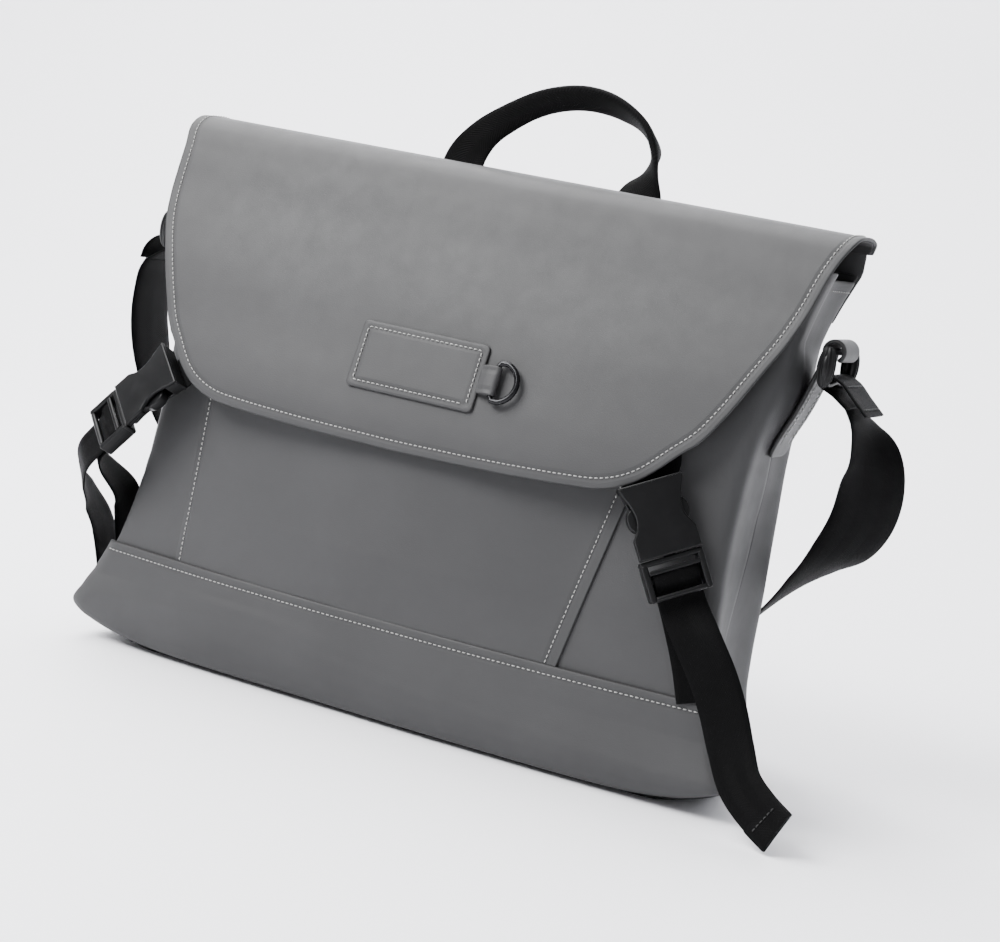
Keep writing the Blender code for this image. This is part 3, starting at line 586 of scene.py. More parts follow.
def lacquered(name, colour):
    """Black lacquered metal with fine scuffs."""
    made = Nodes(name, colour, 0.22, 0.85)
    scuffs = made.noise(500.0, 4.0, 0.7)
    made.rough(made.spread(scuffs, 0.4, 0.7, 0.16, 0.34))
    made.colour(made.mix(made.spread(scuffs, 0.6, 0.75, 0, 0.5), colour, tuple(2.2 * c for c in colour)))
    made.normal(made.bump(scuffs, 0.00003, 0.3))
    return made.material


def lining_cloth(name, colour):
    """Plain woven lining: two crossed sets of threads."""
    made = Nodes(name, colour, 0.8)
    parts = made.add("SeparateXYZ", Vector=made.place())
    scale = 2 * math.pi / 0.0009
    level = made.maths("ADD", parts.outputs[0], parts.outputs[1])
    warp = made.maths("SINE", made.maths("MULTIPLY", level, scale))
    weft = made.maths("SINE", made.maths("MULTIPLY", parts.outputs[2], scale))
    cloth = made.spread(made.maths("MULTIPLY", warp, weft), -1, 1, 0, 1)
    fuzz = made.noise(900.0, 3.0)
    made.colour(made.mix(cloth, tuple(0.7 * c for c in colour), tuple(1.3 * c for c in colour)))
    below = made.bump(cloth, 0.0001, 0.5)
    made.normal(made.bump(fuzz, 0.00006, 0.4, below))
    return made.material


def thread(name, colour):
    """Twisted sewing thread."""
    made = Nodes(name, colour, 0.55)
    bands = {"bands_direction": "DIAGONAL"}
    twist = made.add("TexWave", bands, Vector=made.place(), Scale=900.0, Distortion=0.5).outputs["Fac"]
    made.colour(made.mix(twist, tuple(0.75 * c for c in colour), colour))
    made.normal(made.bump(twist, 0.00008, 0.6))
    made.shader.inputs["Sheen Weight"].default_value = 0.1
    return made.material


HANDLE_WIDTH = 28.0

LEATHER_FINISH = leather("leather_grey", (0.030, 0.030, 0.031))
DARK_LEATHER_FINISH = leather("leather_dark", (0.021, 0.021, 0.022), 0.5)
WEBBING_FINISH = webbing("webbing_closure", (0.0012, 0.0012, 0.0013), CLOSURE_WIDTH, 4)
SHOULDER_FINISH = webbing("webbing_shoulder", (0.0012, 0.0012, 0.0013), SHOULDER_WIDTH, 6, 1.3)
HANDLE_FINISH = webbing("webbing_handle", (0.0020, 0.0020, 0.0021), HANDLE_WIDTH, 4, 1.8, 0.3)
PLASTIC_FINISH = moulded("plastic_black", (0.0030, 0.0030, 0.0033))
METAL_FINISH = lacquered("metal_black", (0.012, 0.012, 0.013))
LINING_FINISH = lining_cloth("lining_fabric", (0.003, 0.003, 0.0034))
THREAD_FINISH = thread("thread_grey", (0.30, 0.30, 0.29))
BLACK_THREAD_FINISH = thread("thread_black", (0.004, 0.004, 0.0045))


# ---------------------------------------------------------------- camera, light and floor

WORLD_LIGHT = 0.6
SWEEP_RADIUS = 500.0
SWEEP_START_Y = 700.0
SWEEP_TOP = 3500.0
FLOOR_REACH = 4000.0
LIGHT_AIM = (0, 0, 0.15)
LOOK_AT = Vector((44.9, -40.0, 152.0))
VIEW_DISTANCE = 1240.9
VIEW_TURN = math.radians(23.2)  # to the bag's right
VIEW_RISE = math.radians(7.7)
VIEW_ROLL = math.radians(10.4)


def camera():
    back = Vector((math.sin(VIEW_TURN) * math.cos(VIEW_RISE), -math.cos(VIEW_TURN) * math.cos(VIEW_RISE),
                   math.sin(VIEW_RISE)))
    right = (-back).cross(Vector((0, 0, 1))).normalized()
    up = right.cross(-back)
    rolled_right = right * math.cos(VIEW_ROLL) + up * math.sin(VIEW_ROLL)
    rolled_up = up * math.cos(VIEW_ROLL) - right * math.sin(VIEW_ROLL)
    data = bpy.data.cameras.new("view")
    data.sensor_width = 36.0
    data.lens = 83.0
    data.clip_start = 0.05
    view = bpy.data.objects.new("view", data)
    place = Matrix((rolled_right, rolled_up, back)).transposed().to_4x4()
    place.translation = (LOOK_AT + back * VIEW_DISTANCE) * MM
    view.matrix_world = place
    bpy.context.scene.collection.objects.link(view)
    bpy.context.scene.camera = view


def area_light(name, place, target, size, power):
    data = bpy.data.lights.new(name, "AREA")
    data.shape = "RECTANGLE"
    data.size, data.size_y = size
    data.energy = power
    lamp = bpy.data.objects.new(name, data)
    lamp.location = place
    lamp.rotation_euler = (Vector(target) - Vector(place)).to_track_quat("-Z", "Y").to_euler()
    bpy.context.scene.collection.objects.link(lamp)


def studio():
    """Pale sweep that is floor and wall, soft lights from the front left and above, and a weak fill."""
    bpy.context.scene.world = bpy.data.worlds.new("studio")
    bpy.context.scene.world.use_nodes = True
    background = bpy.context.scene.world.node_tree.nodes["Background"]
    background.inputs["Color"].default_value = (0.93, 0.94, 0.96, 1)
    background.inputs["Strength"].default_value = WORLD_LIGHT
    rows = [(-FLOOR_REACH, 0.0), (SWEEP_START_Y, 0.0)]
    rows += [(SWEEP_START_Y + SWEEP_RADIUS * math.sin(t), SWEEP_RADIUS * (1 - math.cos(t)))
             for t in np.linspace(0.1, math.pi / 2, 12)]
    rows.append((SWEEP_START_Y + SWEEP_RADIUS, SWEEP_TOP))
    verts = [(x, y, z) for y, z in rows for x in (-FLOOR_REACH, FLOOR_REACH)]
    faces = [(2 * i, 2 * i + 1, 2 * i + 3, 2 * i + 2) for i in range(len(rows) - 1)]
    mesh = bpy.data.meshes.new("floor")
    mesh.from_pydata([tuple(np.array(v) * MM) for v in verts], [], faces)
    mesh.shade_smooth()
    pale = Nodes("floor_pale", (0.90, 0.90, 0.93), 0.6)
    mesh.materials.append(pale.material)
    floor = bpy.data.objects.new("floor", mesh)
    bpy.context.scene.collection.objects.link(floor)
    area_light("key", (-1.1, -1.5, 1.9), LIGHT_AIM, (1.6, 1.2), 175)
    area_light("fill", (1.6, -1.6, 0.8), LIGHT_AIM, (1.4, 1.4), 1.5)
    area_light("top", (-0.8, 0.3, 1.9), (0, 0.1, 0.1), (1.8, 1.2), 90)


camera()
studio()


# ---------------------------------------------------------------- shoulder strap (baked in place, on no body)

# Each point of the strap: place and width direction, from its right end to its left end
SHOULDER_ROUTE = (
    ((216.9, 10, 221.0), (0, 1, 0)), ((220.2, 10, 216), (0, 1, 0)), ((224.5, 12, 207), (0.2, 1, 0)),
    ((229, 18, 194), (0.55, 0.8, 0.1)), ((229.5, 27, 177), (0.8, 0.6, 0.15)),
    ((225.5, 37, 160), (0.88, 0.5, 0.15)), ((216, 47, 142), (0.85, 0.4, 0.3)),
    ((198, 57, 122), (0.7, 0.35, 0.55)), ((172, 70, 95), (0.6, 0.3, 0.75)), ((145, 83, 64), (0.5, 0.3, 0.8)),
    ((120, 94, 41), (0.4, 0.2, 0.9)), ((95, 104, 29), (0.3, 0, 0.95)), ((67, 112, 25), (0.1, 0, 1)),
    ((40, 116, 24), (0, 0, 1)), ((10, 113.5, 24), (0, 0, 1)), ((-20, 111, 24), (0, 0, 1)),
    ((-50, 108.5, 24), (0, 0, 1)), ((-80, 106, 24), (0, 0, 1)), ((-110, 98, 26), (-0.2, 0, 1)),
    ((-138, 85, 35), (-0.4, 0.05, 0.9)), ((-163, 76, 54), (-0.5, 0.2, 0.8)),
    ((-184, 66, 76), (-0.5, 0.45, 0.65)), ((-201, 56, 98), (-0.4, 0.65, 0.5)),
    ((-213, 45, 120), (-0.25, 0.85, 0.3)), ((-220, 33, 143), (-0.1, 1, 0.1)), ((-223, 23, 165), (0, 1, 0)),
    ((-223.5, 15, 186), (0, 1, 0)), ((-222, 11, 203), (0, 1, 0)), ((-220, 10, 215), (0, 1, 0)),
    ((-216.9, 10, 221.0), (0, 1, 0)))
SLIDER_PLACE = 15


def shoulder_strap():
    """Two webbings that meet in the adjuster; each is drawn curving from its ring down to the floor behind the
    bag, baked in place on no body.
    """
    places, directions = zip(*SHOULDER_ROUTE)
    for label, part in (("right", slice(0, SLIDER_PLACE + 1)), ("left", slice(SLIDER_PLACE, None))):
        centres, towards = swept(places[part], directions[part], 130)
        if label == "left":
            centres, towards = centres[::-1], towards[::-1]
        piece = strap_piece("shoulder_strap_" + label, centres, towards, SHOULDER_WIDTH, WEBBING, None,
                            ["shoulder_strap_" + label], camber=0.8, finish=SHOULDER_FINISH)
        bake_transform(piece)


def slider_frame():
    here, ahead = Vector(SHOULDER_ROUTE[SLIDER_PLACE][0]), Vector(SHOULDER_ROUTE[SLIDER_PLACE - 1][0])
    along_strap = (ahead - here).normalized()
    up = Vector((0, 0, 1))
    place = Matrix((along_strap, up, along_strap.cross(up))).transposed().to_4x4()
    place.translation = here
    return place


def strap_slider():
    """Three-bar adjuster with round bars, in front of and behind the strap."""
    inner, outer = SHOULDER_WIDTH / 2 + 0.6, SHOULDER_WIDTH / 2 + 3.4
    parts = []
    for low, high in ((-outer, -inner), (inner, outer)):
        parts.append(pillow(rounded_rectangle((-14, 14), (low, high), 1.2, 4), -3.2, 3.2, 0.9))
    for low, high, z in ((-14, -10.5, 2.2), (10.5, 14, 2.2), (-2, 2, -2.2)):
        outline = rounded_rectangle((low, high), (-inner - 0.5, inner + 0.5), 1.0, 4)
        parts.append(pillow(outline, z - 1, z + 1, 0.7))
    look("strap_slider", joined(*parts), PLASTIC_FINISH, "slider", "plastic_black", slider_frame(), sharp=50)


strap_slider()
shoulder_strap()


# ---------------------------------------------------------------- shell

CORNER_SMOOTHING = 6.5  # how far the soft corners of the shell are rounded
RING_STEP = 1.5
FRONT_WRAP = 9.0  # the front panel goes this far round the corner before it meets the side wall
BACK_WRAP = 6.0
FRONT_FOOT = 50.0  # the front panel starts behind the band
GUSSET_TOP = 284.0
GUSSET_HEM = 5.0
GUSSET_COLUMNS = 44
TAB_SECTION = ((180.5, 188), (183, 196), (190, 213), (195.5, 230), (198.2, 241))  # X and Z of the tab
RING_Y = 10.0
SIDES = (("left", -1), ("right", 1))


def front_line(x, z, recess=FRONT_RECESS):
    """Y of the front's outer face at that X and height."""
    u = np.asarray(x) / smooth(FRONT_HALF_WIDTH, z)
    return smooth(FRONT_Y, z) + smooth(FRONT_BULGE, z) * u * u + recess


def side_line(t, z):
    """(X, Y) of the side wall, t from 0 at its front to 1 at its back; the tab pulls it outwards."""
    front_y = front_line(smooth(FRONT_HALF_WIDTH, z), z)
    y = front_y + (BACK_Y - front_y) * t
    x = (1 - t) * smooth(FRONT_HALF_WIDTH, z) + t * smooth(BACK_HALF_WIDTH, z)
    x = x - smooth(GUSSET_PINCH, z) * np.sin(math.pi * t)
    tab_x = np.interp(z, [p[1] for p in TAB_SECTION], [p[0] for p in TAB_SECTION]) - 2.4
    near = np.exp(-((y - RING_Y) / 20) ** 2) * smooth(((150, 0), (186, 1), (225, 1), (250, 0)), z)
    return x + np.maximum(tab_x - x, 0) * near, y


def half_ring(z):
    """Right half of the shell's outline at one height, from the front's middle on, and its corners."""
    half = float(smooth(FRONT_HALF_WIDTH, z))
    xs = np.linspace(0, half, 90)
    front = np.column_stack((xs, front_line(xs, z)))
    side = np.column_stack(side_line(np.linspace(0, 1, 60), z))
    back_half = float(smooth(BACK_HALF_WIDTH, z))
    xs = np.linspace(back_half, 0, 80)
    bulge = BACK_BULGE * (1 - (xs / back_half) ** 2) * math.sin(math.pi * min(z, BODY_TOP) / BODY_TOP)
    back = np.column_stack((xs, BACK_Y + bulge))
    line = np.concatenate((front, side[1:], back[1:]))
    corners = (lengths_along(front)[-1], lengths_along(np.concatenate((front, side[1:])))[-1])
    total = lengths_along(line)[-1]
    count = int(total / RING_STEP)
    step = total / (count - 1)
    line = resample(line, count)
    reach = int(3 * CORNER_SMOOTHING / step)
    weights = bell(reach, CORNER_SMOOTHING / step)
    padded = np.concatenate((line[1:reach + 1][::-1] * (-1, 1), line, line[-reach - 1:-1][::-1] * (-1, 1)))
    soft = np.column_stack([np.convolve(padded[:, axis], weights, "valid") for axis in (0, 1)])
    return soft, corners


def corner_wrap(z):
    """How far past the corner the front panel's edge lies; under the band it stays short of the corner."""
    return smooth(((0, -6), (46, -6), (62, FRONT_WRAP), (300, FRONT_WRAP)), z)


def ring_part(z, part, count):
    """Points of one panel on the right half at one height: the front, the side or the back."""
    soft, (front_corner, back_corner) = half_ring(z)
    lengths = lengths_along(soft)
    ends = {"front": (0.0, front_corner + corner_wrap(z)),
            "side": (front_corner + corner_wrap(z) + 0.5, back_corner - BACK_WRAP - 0.5),
            "back": (back_corner - BACK_WRAP, lengths[-1])}[part]
    places = np.linspace(*ends, count)
    return np.array([np.interp(places, lengths, soft[:, axis]) for axis in (0, 1)]).T


def sagged(grid, depth, seed, towards):
    """Grid with slow folds in the soft leather."""
    fold = soft_noise(grid, 95.0, seed) + 0.4 * soft_noise(grid, 38.0, seed + 5)
    return grid + depth * fold[..., None] * np.array(towards, float)


def inset_line(rows, inset):
    """Point at that distance along each row of points from its start."""
    found = []
    for row in rows:
        lengths = lengths_along(row)
        found.append([np.interp(inset, lengths, column) for column in row.T])
    return np.array(found)


def edge_lines(grid, inset, sides):
    """Lines on a grid that lie inset from its named borders: left, right, last row or first row."""
    turned = grid.transpose(1, 0, 2)
    views = {"left": grid, "right": grid[:, ::-1], "last": turned[:, ::-1], "first": turned}
    return [inset_line(views[side], inset) for side in sides]


def level_row(line, z):
    """(X, Y) points as a row at one height."""
    return np.column_stack((line, np.full(len(line), z)))


def front_panel():
    rows = []
    for z in np.linspace(FRONT_FOOT, BODY_TOP, 90):
        right = ring_part(z, "front", 60)
        rows.append(level_row(np.concatenate((right[::-1] * (-1, 1), right[1:])), z))
    grid = sagged(np.array(rows), 0.9, 3.0, (0, 1, 0))
    sheet_piece("front_panel", grid, LEATHER, LEATHER_FINISH, "bag", "leather_grey")


def back_panel():
    rows = []
    for z in np.linspace(BODY_BOTTOM, BODY_TOP, 70):
        right = ring_part(z, "back", 50)
        rows.append(level_row(np.concatenate((right, right[::-1][1:] * (-1, 1))), z))
    grid = sagged(np.array(rows), 0.7, 11.0, (0, 1, 0))
    sheet_piece("back_panel", grid, LEATHER, LEATHER_FINISH, "bag", "leather_grey",
                edge_lines(grid, SEAM_INSET, ("last",)), (0, 1, 0))


def side_wall(label, side):
    """Soft side wall; its bottom turns under the bag, and its front lower corner lifts with the band."""
    rows = []
    under = ((0.6, 21.0), (0.8, 14.0), (1.6, 6.0))  # height, and how far inside the wall's foot
    foot = ring_part(BODY_BOTTOM, "side", GUSSET_COLUMNS)
    lift = CORNER_LIFT * 0.75 * np.linspace(1, 0, GUSSET_COLUMNS) ** 2
    for z, inset in under:
        rows.append(np.column_stack((foot[:, 0] - inset, foot[:, 1], z + lift * (1 - inset / 24))))
    for z in np.concatenate((np.linspace(BODY_BOTTOM, 30, 12)[:-1], np.linspace(30, GUSSET_TOP, 80))):
        ring = ring_part(z, "side", GUSSET_COLUMNS)
        rows.append(np.column_stack((ring, z + lift * max(0.0, 1 - z / 36))))
    grid = np.array(rows) * (side, 1, 1)
    grid = sagged(grid, 0.7, 21.0 if side > 0 else 27.0, (side, 0, 0))
    hem = edge_lines(grid, GUSSET_HEM, ("last",))
    facing = (side, 0, 0)
    sheet_piece(label + "_gusset", grid, LEATHER, LEATHER_FINISH, "bag", "leather_grey", hem, facing)
    out = facing_normals(grid, facing)[-2]
    stitches(label + "_gusset_stitches", [(hem[0][2:-2], out[2:-2])], "bag")


# ---------------------------------------------------------------- bottom band and base

BAND_LEATHER = 2.0
FOOT_BULGE = 6.0
FOOT_NARROWING = 14.0
FOOT_HEIGHT = 8.0
BASE_HALF_WIDTH = 172.0
BASE_FRONT_Y = -36.0
BASE_BACK_Y = 37.4
BASE_THICKNESS = 2.5


def band_column(u):
    """Points from the band's top edge to its sewn foot at share u of the half width."""
    crease = float(smooth(CREASE, u * 200))
    control = ((-58.0, BAND_TOP), (-59.4, 46.0), (-60.4, crease + 9), (-60.6, crease), (-58.8, crease * 0.66),
               (-55.5, crease * 0.36), (-51.0, max(1.8, crease * 0.12)), (-45.0, 1.2), (BAND_FOOT_Y, 0.4))
    line = resample(control, 220)
    y, z = (np.convolve(np.pad(axis, 12, "edge"), bell(12, 4.0), "valid") for axis in line.T)
    low = np.clip(1 - z / 40, 0, 1)
    bulge = smooth(FRONT_BULGE, z) * (1 - low) + FOOT_BULGE * low
    width = smooth(FRONT_HALF_WIDTH, np.maximum(z, FOOT_HEIGHT))
    width = width - FOOT_NARROWING * np.clip(1 - z / FOOT_HEIGHT, 0, 1)
    corner = np.clip((abs(u) - 0.955) / 0.045, 0, 1) ** 2
    x = u * width
    y = np.minimum(y + bulge * u * u, BAND_FOOT_Y) + 3.2 * corner
    z = z + CORNER_LIFT * low * abs(u) ** 8
    return resample(np.column_stack((x, y, z)), 64)


def bottom_band():
    shares = np.sin(np.linspace(-1, 1, 151) * 1.35) / math.sin(1.35)
    grid = np.array([band_column(u) for u in shares]).transpose(1, 0, 2)
    fade = np.linspace(1, 0, len(grid))[:, None]
    fold = soft_noise(grid, 70.0, 31.0) * np.minimum(fade * 4, 1) * 0.8
    grid = grid + fold[..., None] * (0, 1, 0)
    top = edge_lines(grid, SEAM_INSET, ("first",))[0][2:-2]
    sheet_piece("bottom_band", grid, BAND_LEATHER, LEATHER_FINISH, "bag", "leather_grey", [top])
    stitches("band_stitches", [(top, facing_normals(grid, (0, -1, 0))[3][2:-2])], "bag")


def base():
    outline = rounded_rectangle((-BASE_HALF_WIDTH, BASE_HALF_WIDTH), (BASE_FRONT_Y, BASE_BACK_Y), 18, 10)
    panel = pillow(outline, 0.0, BASE_THICKNESS, 0.8)
    look("base_panel", panel, DARK_LEATHER_FINISH, "bag", "leather_dark", sharp=50)
    low = BASE_THICKNESS + 0.4
    board = pillow(rounded_rectangle((-164, 164), (-32, 33), 14, 8), low, low + 2, 0.5)
    look("base_board", board, LINING_FINISH, "bag", "board", sharp=50)


# ---------------------------------------------------------------- slip pocket

POCKET_TOP = 182.0
POCKET_LEFT = ((59, -142), (154, -145), (204, -147))
POCKET_RIGHT = ((59, 101.5), (154, 120), (204, 130))
POCKET_LEATHER = 1.6
POCKET_STAND_OFF = 6.0
POCKET_STITCH = 6.0  # from its edges


def pocket_panel():
    """Pocket leather over the front: its right edge is raised, and its left edge melts into the panel."""
    rows = []
    shares = 0.5 - 0.5 * np.cos(np.linspace(0, math.pi, 110))
    for z in np.linspace(BAND_TOP - 3, POCKET_TOP, 70):
        left, right = float(smooth(POCKET_LEFT, z)), float(smooth(POCKET_RIGHT, z))
        x = left + (right - left) * shares
        rise = min(1.0, max(0.0, z - BAND_TOP) / 34)
        feather = np.clip((x - left) / 7.0, 0, 1)
        lift = -0.5 + feather * (0.5 + POCKET_LEATHER)
        middle = np.sin(math.pi * np.clip((shares - 0.03) / 0.94, 0, 1)) ** 1.2
        lift = lift + POCKET_STAND_OFF * rise * middle
        rows.append(level_row(np.column_stack((x, front_line(x, z) - lift)), z))
    grid = sagged(np.array(rows), 0.8, 3.0, (0, 1, 0))
    lines = edge_lines(grid, POCKET_STITCH, ("left", "right"))
    sheet_piece("pocket_panel", grid, POCKET_LEATHER, LEATHER_FINISH, "bag", "leather_grey", lines)
    out = facing_normals(grid, (0, -1, 0))
    stitches("pocket_stitches", [(lines[0][1:], out[1:, 10]), (lines[1][1:], out[1:, -10])], "bag")


# ---------------------------------------------------------------- lining and divider

LINING_HEIGHTS = (10.0, 280.0)
LINING_THICKNESS = 1.0
LINING_FLOOR = 11.2
LINING_SIDE_GAP = 4.0
LINING_FOOT = 34.0  # the lining narrows by this much below this height
DIVIDER_HALF_WIDTH = 150.0
DIVIDER_HEIGHTS = (13.0, 246.0)
DIVIDER_Y = (24.0, 30.0)


def lining_ring(z, inset):
    """Outline of the lining at one height."""
    width = min(smooth(FRONT_HALF_WIDTH, z), smooth(BACK_HALF_WIDTH, z)) - smooth(GUSSET_PINCH, z)
    width = float(width) - LINING_SIDE_GAP - inset
    width -= LINING_FOOT * max(0.0, 1 - z / LINING_FOOT)
    xs = np.linspace(-width, width, 40)
    front = np.column_stack((xs, front_line(xs, z) + LEATHER + 1.4 + inset))
    back = np.column_stack((xs[::-1], np.full(40, BACK_Y - LEATHER - 1.2 - inset)))
    ring = level_row(np.concatenate((front, back)), z)
    return ring + 0.35 * soft_noise(ring, 30.0, 41.0)[:, None] * (0, 1, 0)


def lining():
    heights = np.linspace(*LINING_HEIGHTS, 40)
    outer = [lining_ring(z, 0.0) for z in heights]
    inner = [lining_ring(max(z, LINING_FLOOR), LINING_THICKNESS) for z in heights[::-1]]
    look("lining", loft(outer + inner), LINING_FINISH, "bag", "lining_fabric", sharp=60)


def laptop_divider():
    """Padded wall that keeps a laptop against the back."""
    outline = rounded_rectangle((-DIVIDER_HALF_WIDTH, DIVIDER_HALF_WIDTH), DIVIDER_HEIGHTS, 10, 6)
    verts, faces = pillow(outline, *DIVIDER_Y, 2.4, 5)
    upright = [(x, z, y) for x, y, z in verts]
    divider = look("laptop_divider", (upright, faces), LINING_FINISH, "bag", "lining_fabric", sharp=60)


# ---------------------------------------------------------------- flap

FLAP_LINE = along(FLAP_PROFILE, 500)
FLAP_PLACES = lengths_along(FLAP_LINE)
FLAP_TOP = int(np.argmax(FLAP_LINE[:, 1]))
FLAP_STITCH = 4.6
STRIP_HEIGHTS = (262.0, 302.0)
STRIP_THICKNESS = 1.5
STRIP_STAND_OFF = 2.4


def flap_reach(a):
    """Length of the flap's profile down to its edge at share a of the half width."""
    height = smooth(FLAP_EDGE, np.abs(a)) + FLAP_TILT * np.asarray(a)
    return np.interp(-height, -FLAP_LINE[FLAP_TOP:, 1], FLAP_PLACES[FLAP_TOP:])


def flap_width(d):
    """Half width and middle of the flap at that distance along its profile."""
    z = np.interp(d, FLAP_PLACES, FLAP_LINE[:, 1])
    return smooth(FLAP_SIDE, z), smooth(FLAP_SHIFT, z)


def flap_surface(x, d):
    """Points of the flap's outer face at X and at a distance d along its profile."""
    x, d = np.broadcast_arrays(np.asarray(x, float), np.asarray(d, float))
    y, z = (np.interp(d, FLAP_PLACES, FLAP_LINE[:, axis]) for axis in (0, 1))
    share = d / FLAP_PLACES[-1]
    y = y + FLAP_BULGE * share * (x / 180) ** 2
    points = np.stack((x, y, z), axis=-1)
    fold = soft_noise(points, 110.0, 51.0) * np.clip((share - 0.25) * 2.5, 0, 1)
    sag = 1.2 * np.sin(math.pi * np.clip(share, 0, 1)) * np.cos(x / 205 * math.pi / 2)
    return points + (1.1 * fold - 0.6 * sag)[..., None] * np.array((0, -0.94, 0.33))


def flap_normals(x, d):
    step = 0.6
    down = flap_surface(x, d + step) - flap_surface(x, d - step)
    across = flap_surface(x + step, d) - flap_surface(x - step, d)
    return unit(np.cross(down, across))


def flap_grid(trim, shorten, rows=130, columns=150):
    """(X, d) grid of the flap, with its sides and its end trimmed."""
    shares = np.sin(np.linspace(-1, 1, columns) * 1.4) / math.sin(1.4)
    reach = flap_reach(shares) - shorten
    d = np.linspace(0, 1, rows)[:, None] * reach[None, :]
    half, middle = flap_width(d)
    return shares[None, :] * (half - trim) + middle, d


def flap_edge_path(inset):
    """(X, d) line round the flap's free edge at that inset, from its right top to its left top."""
    right_d = np.linspace(6, flap_reach(1.0), 120)
    left_d = right_d[::-1] - right_d[-1] + flap_reach(-1.0)
    shares = np.sin(np.linspace(1, -1, 240) * 1.5) / math.sin(1.5)
    edges = []
    for share, d in ((1.0, right_d), (shares, flap_reach(shares)), (-1.0, left_d)):
        half, middle = flap_width(d)
        edges.append(np.column_stack((share * half + middle, d)))
    right, bottom, left = edges
    line = resample(np.concatenate((right, bottom[1:], left[1:])), 700)
    weights = np.ones(15) / 15
    soft = np.column_stack([np.convolve(np.pad(axis, 7, "edge"), weights, "valid") for axis in line.T])
    ahead = tangents_of(soft)
    inward = np.column_stack((-ahead[:, 1], ahead[:, 0]))
    middle = np.array((0.0, 120.0))
    inward *= np.sign(np.sum((middle - soft) * inward, axis=1))[:, None]
    path = soft + inward * inset
    return path[path[:, 1] > 4]


def flap():
    x, d = flap_grid(0, 0)
    grid = flap_surface(x, d)
    path = flap_edge_path(FLAP_STITCH)
    line = flap_surface(path[:, 0], path[:, 1])
    sheet_piece("flap_outer", grid, FLAP_LEATHER, LEATHER_FINISH, "flap", "leather_grey", [line])
    stitches("flap_stitches", [(line, flap_normals(path[:, 0], path[:, 1]))], "flap")
    x, d = flap_grid(1.4, 1.6, 90, 90)
    inner = flap_surface(x, d) - flap_normals(x, d) * (FLAP_LEATHER + 0.15)
    verts, faces, _ = slab(inner, FLAP_LINING, (0, -1, 0))
    look("flap_lining", (verts, faces), LINING_FINISH, "flap", "lining_fabric", sharp=60)


def flap_back_strip():
    """Strip of the flap's leather that is sewn to the back, a little narrower than the back panel."""
    rows = []
    for z in np.linspace(*STRIP_HEIGHTS, 16):
        half = smooth(BACK_HALF_WIDTH, min(z, BACK_HALF_WIDTH[-1][0])) - 4
        xs = np.linspace(-half, half, 80)
        lean = 0.4 * max(0.0, (z - BODY_TOP) / 12)
        swell = max(0.0, math.sin(math.pi * min(z, BODY_TOP) / BODY_TOP))
        y = BACK_Y + STRIP_STAND_OFF + BACK_BULGE * (1 - (xs / half) ** 2) * swell + lean
        rows.append(level_row(np.column_stack((xs, y)), z))
    grid = np.array(rows)
    line = edge_lines(grid, SEAM_INSET, ("first",))[0]
    sheet_piece("flap_back_strip", grid, STRIP_THICKNESS, LEATHER_FINISH, "bag", "leather_grey", [line],
                (0, 1, 0))
    stitches("back_strip_stitches", [(line, np.tile((0, 1, 0), (len(line), 1)))], "bag")


# ---------------------------------------------------------------- patch and its ring

PATCH_CENTRE = (-8.5, 199.0)
PATCH_SIZE = (76.0, 37.0)
PATCH_THICKNESS = 1.6
PATCH_STITCH = 3.2  # from its edge
TAB_HALF_WIDTH = 7.5
TAB_RADIUS = 2.5
BAR_LIFT = 3.2  # of the ring's bar above the flap
TAB_BAR = 9.5  # from the patch's edge to the ring's straight bar
D_RING_RADIUS = 11.0
D_RING_WIRE = 1.6


def flap_frame(x, z, lift):
    """Frame on the flap's outer face: X along the bag, Y up the slope, Z outwards."""
    d = float(np.interp(-z, -FLAP_LINE[FLAP_TOP:, 1], FLAP_PLACES[FLAP_TOP:]))
    up = Vector(flap_surface(x, d - 4) - flap_surface(x, d + 4)).normalized()
    level = Vector(flap_surface(x + 20, d) - flap_surface(x - 20, d))
    out = level.cross(up).normalized()
    place = Matrix((up.cross(out), up, out)).transposed().to_4x4()
    place.translation = Vector(flap_surface(x, d)) + out * lift
    return place


def round_corners(a, b, half_x, half_y, radius):
    """Square grid shares turned into a rectangle with round corners."""
    x, y = a * half_x, b * half_y
    over_x, over_y = np.abs(x) - (half_x - radius), np.abs(y) - (half_y - radius)
    corner = (over_x > 0) & (over_y > 0)
    size = np.hypot(over_x, over_y)
    scale = np.where(corner, np.maximum(over_x, over_y) / np.maximum(size, 1e-6), 1.0)
    x = np.where(corner, np.sign(x) * (half_x - radius + over_x * scale), x)
    y = np.where(corner, np.sign(y) * (half_y - radius + over_y * scale), y)
    return x, y


def patch():
    half_x, half_y = PATCH_SIZE[0] / 2, PATCH_SIZE[1] / 2
    frame_on_flap = flap_frame(*PATCH_CENTRE, 0.3 + PATCH_THICKNESS)
    b, a = np.meshgrid(np.linspace(-1, 1, 52), np.linspace(-1, 1, 100), indexing="ij")
    x, y = round_corners(a, b, half_x, half_y, 2.6)
    puff = 0.5 * (1 - np.maximum(np.abs(a), np.abs(b)) ** 6)
    flat = np.stack((x, y, puff - 0.3), axis=-1)
    grid = moved(flat.reshape(-1, 3), frame_on_flap).reshape(flat.shape)
    far_x, far_y = half_x - PATCH_STITCH, half_y - PATCH_STITCH
    turn = rounded_rectangle((-far_x, far_x), (-far_y, far_y), 1.5, 5)
    loop = [(px, py, 0.22) for px, py in turn + turn[:1]]
    line = moved(resample(loop, 300), frame_on_flap)
    sheet_piece("flap_patch", grid, PATCH_THICKNESS, LEATHER_FINISH, "flap", "leather_grey", [line])
    out = np.tile(tuple(frame_on_flap.to_3x3() @ Vector((0, 0, 1))), (len(line), 1))
    stitches("patch_stitches", [(line, out)], "flap")


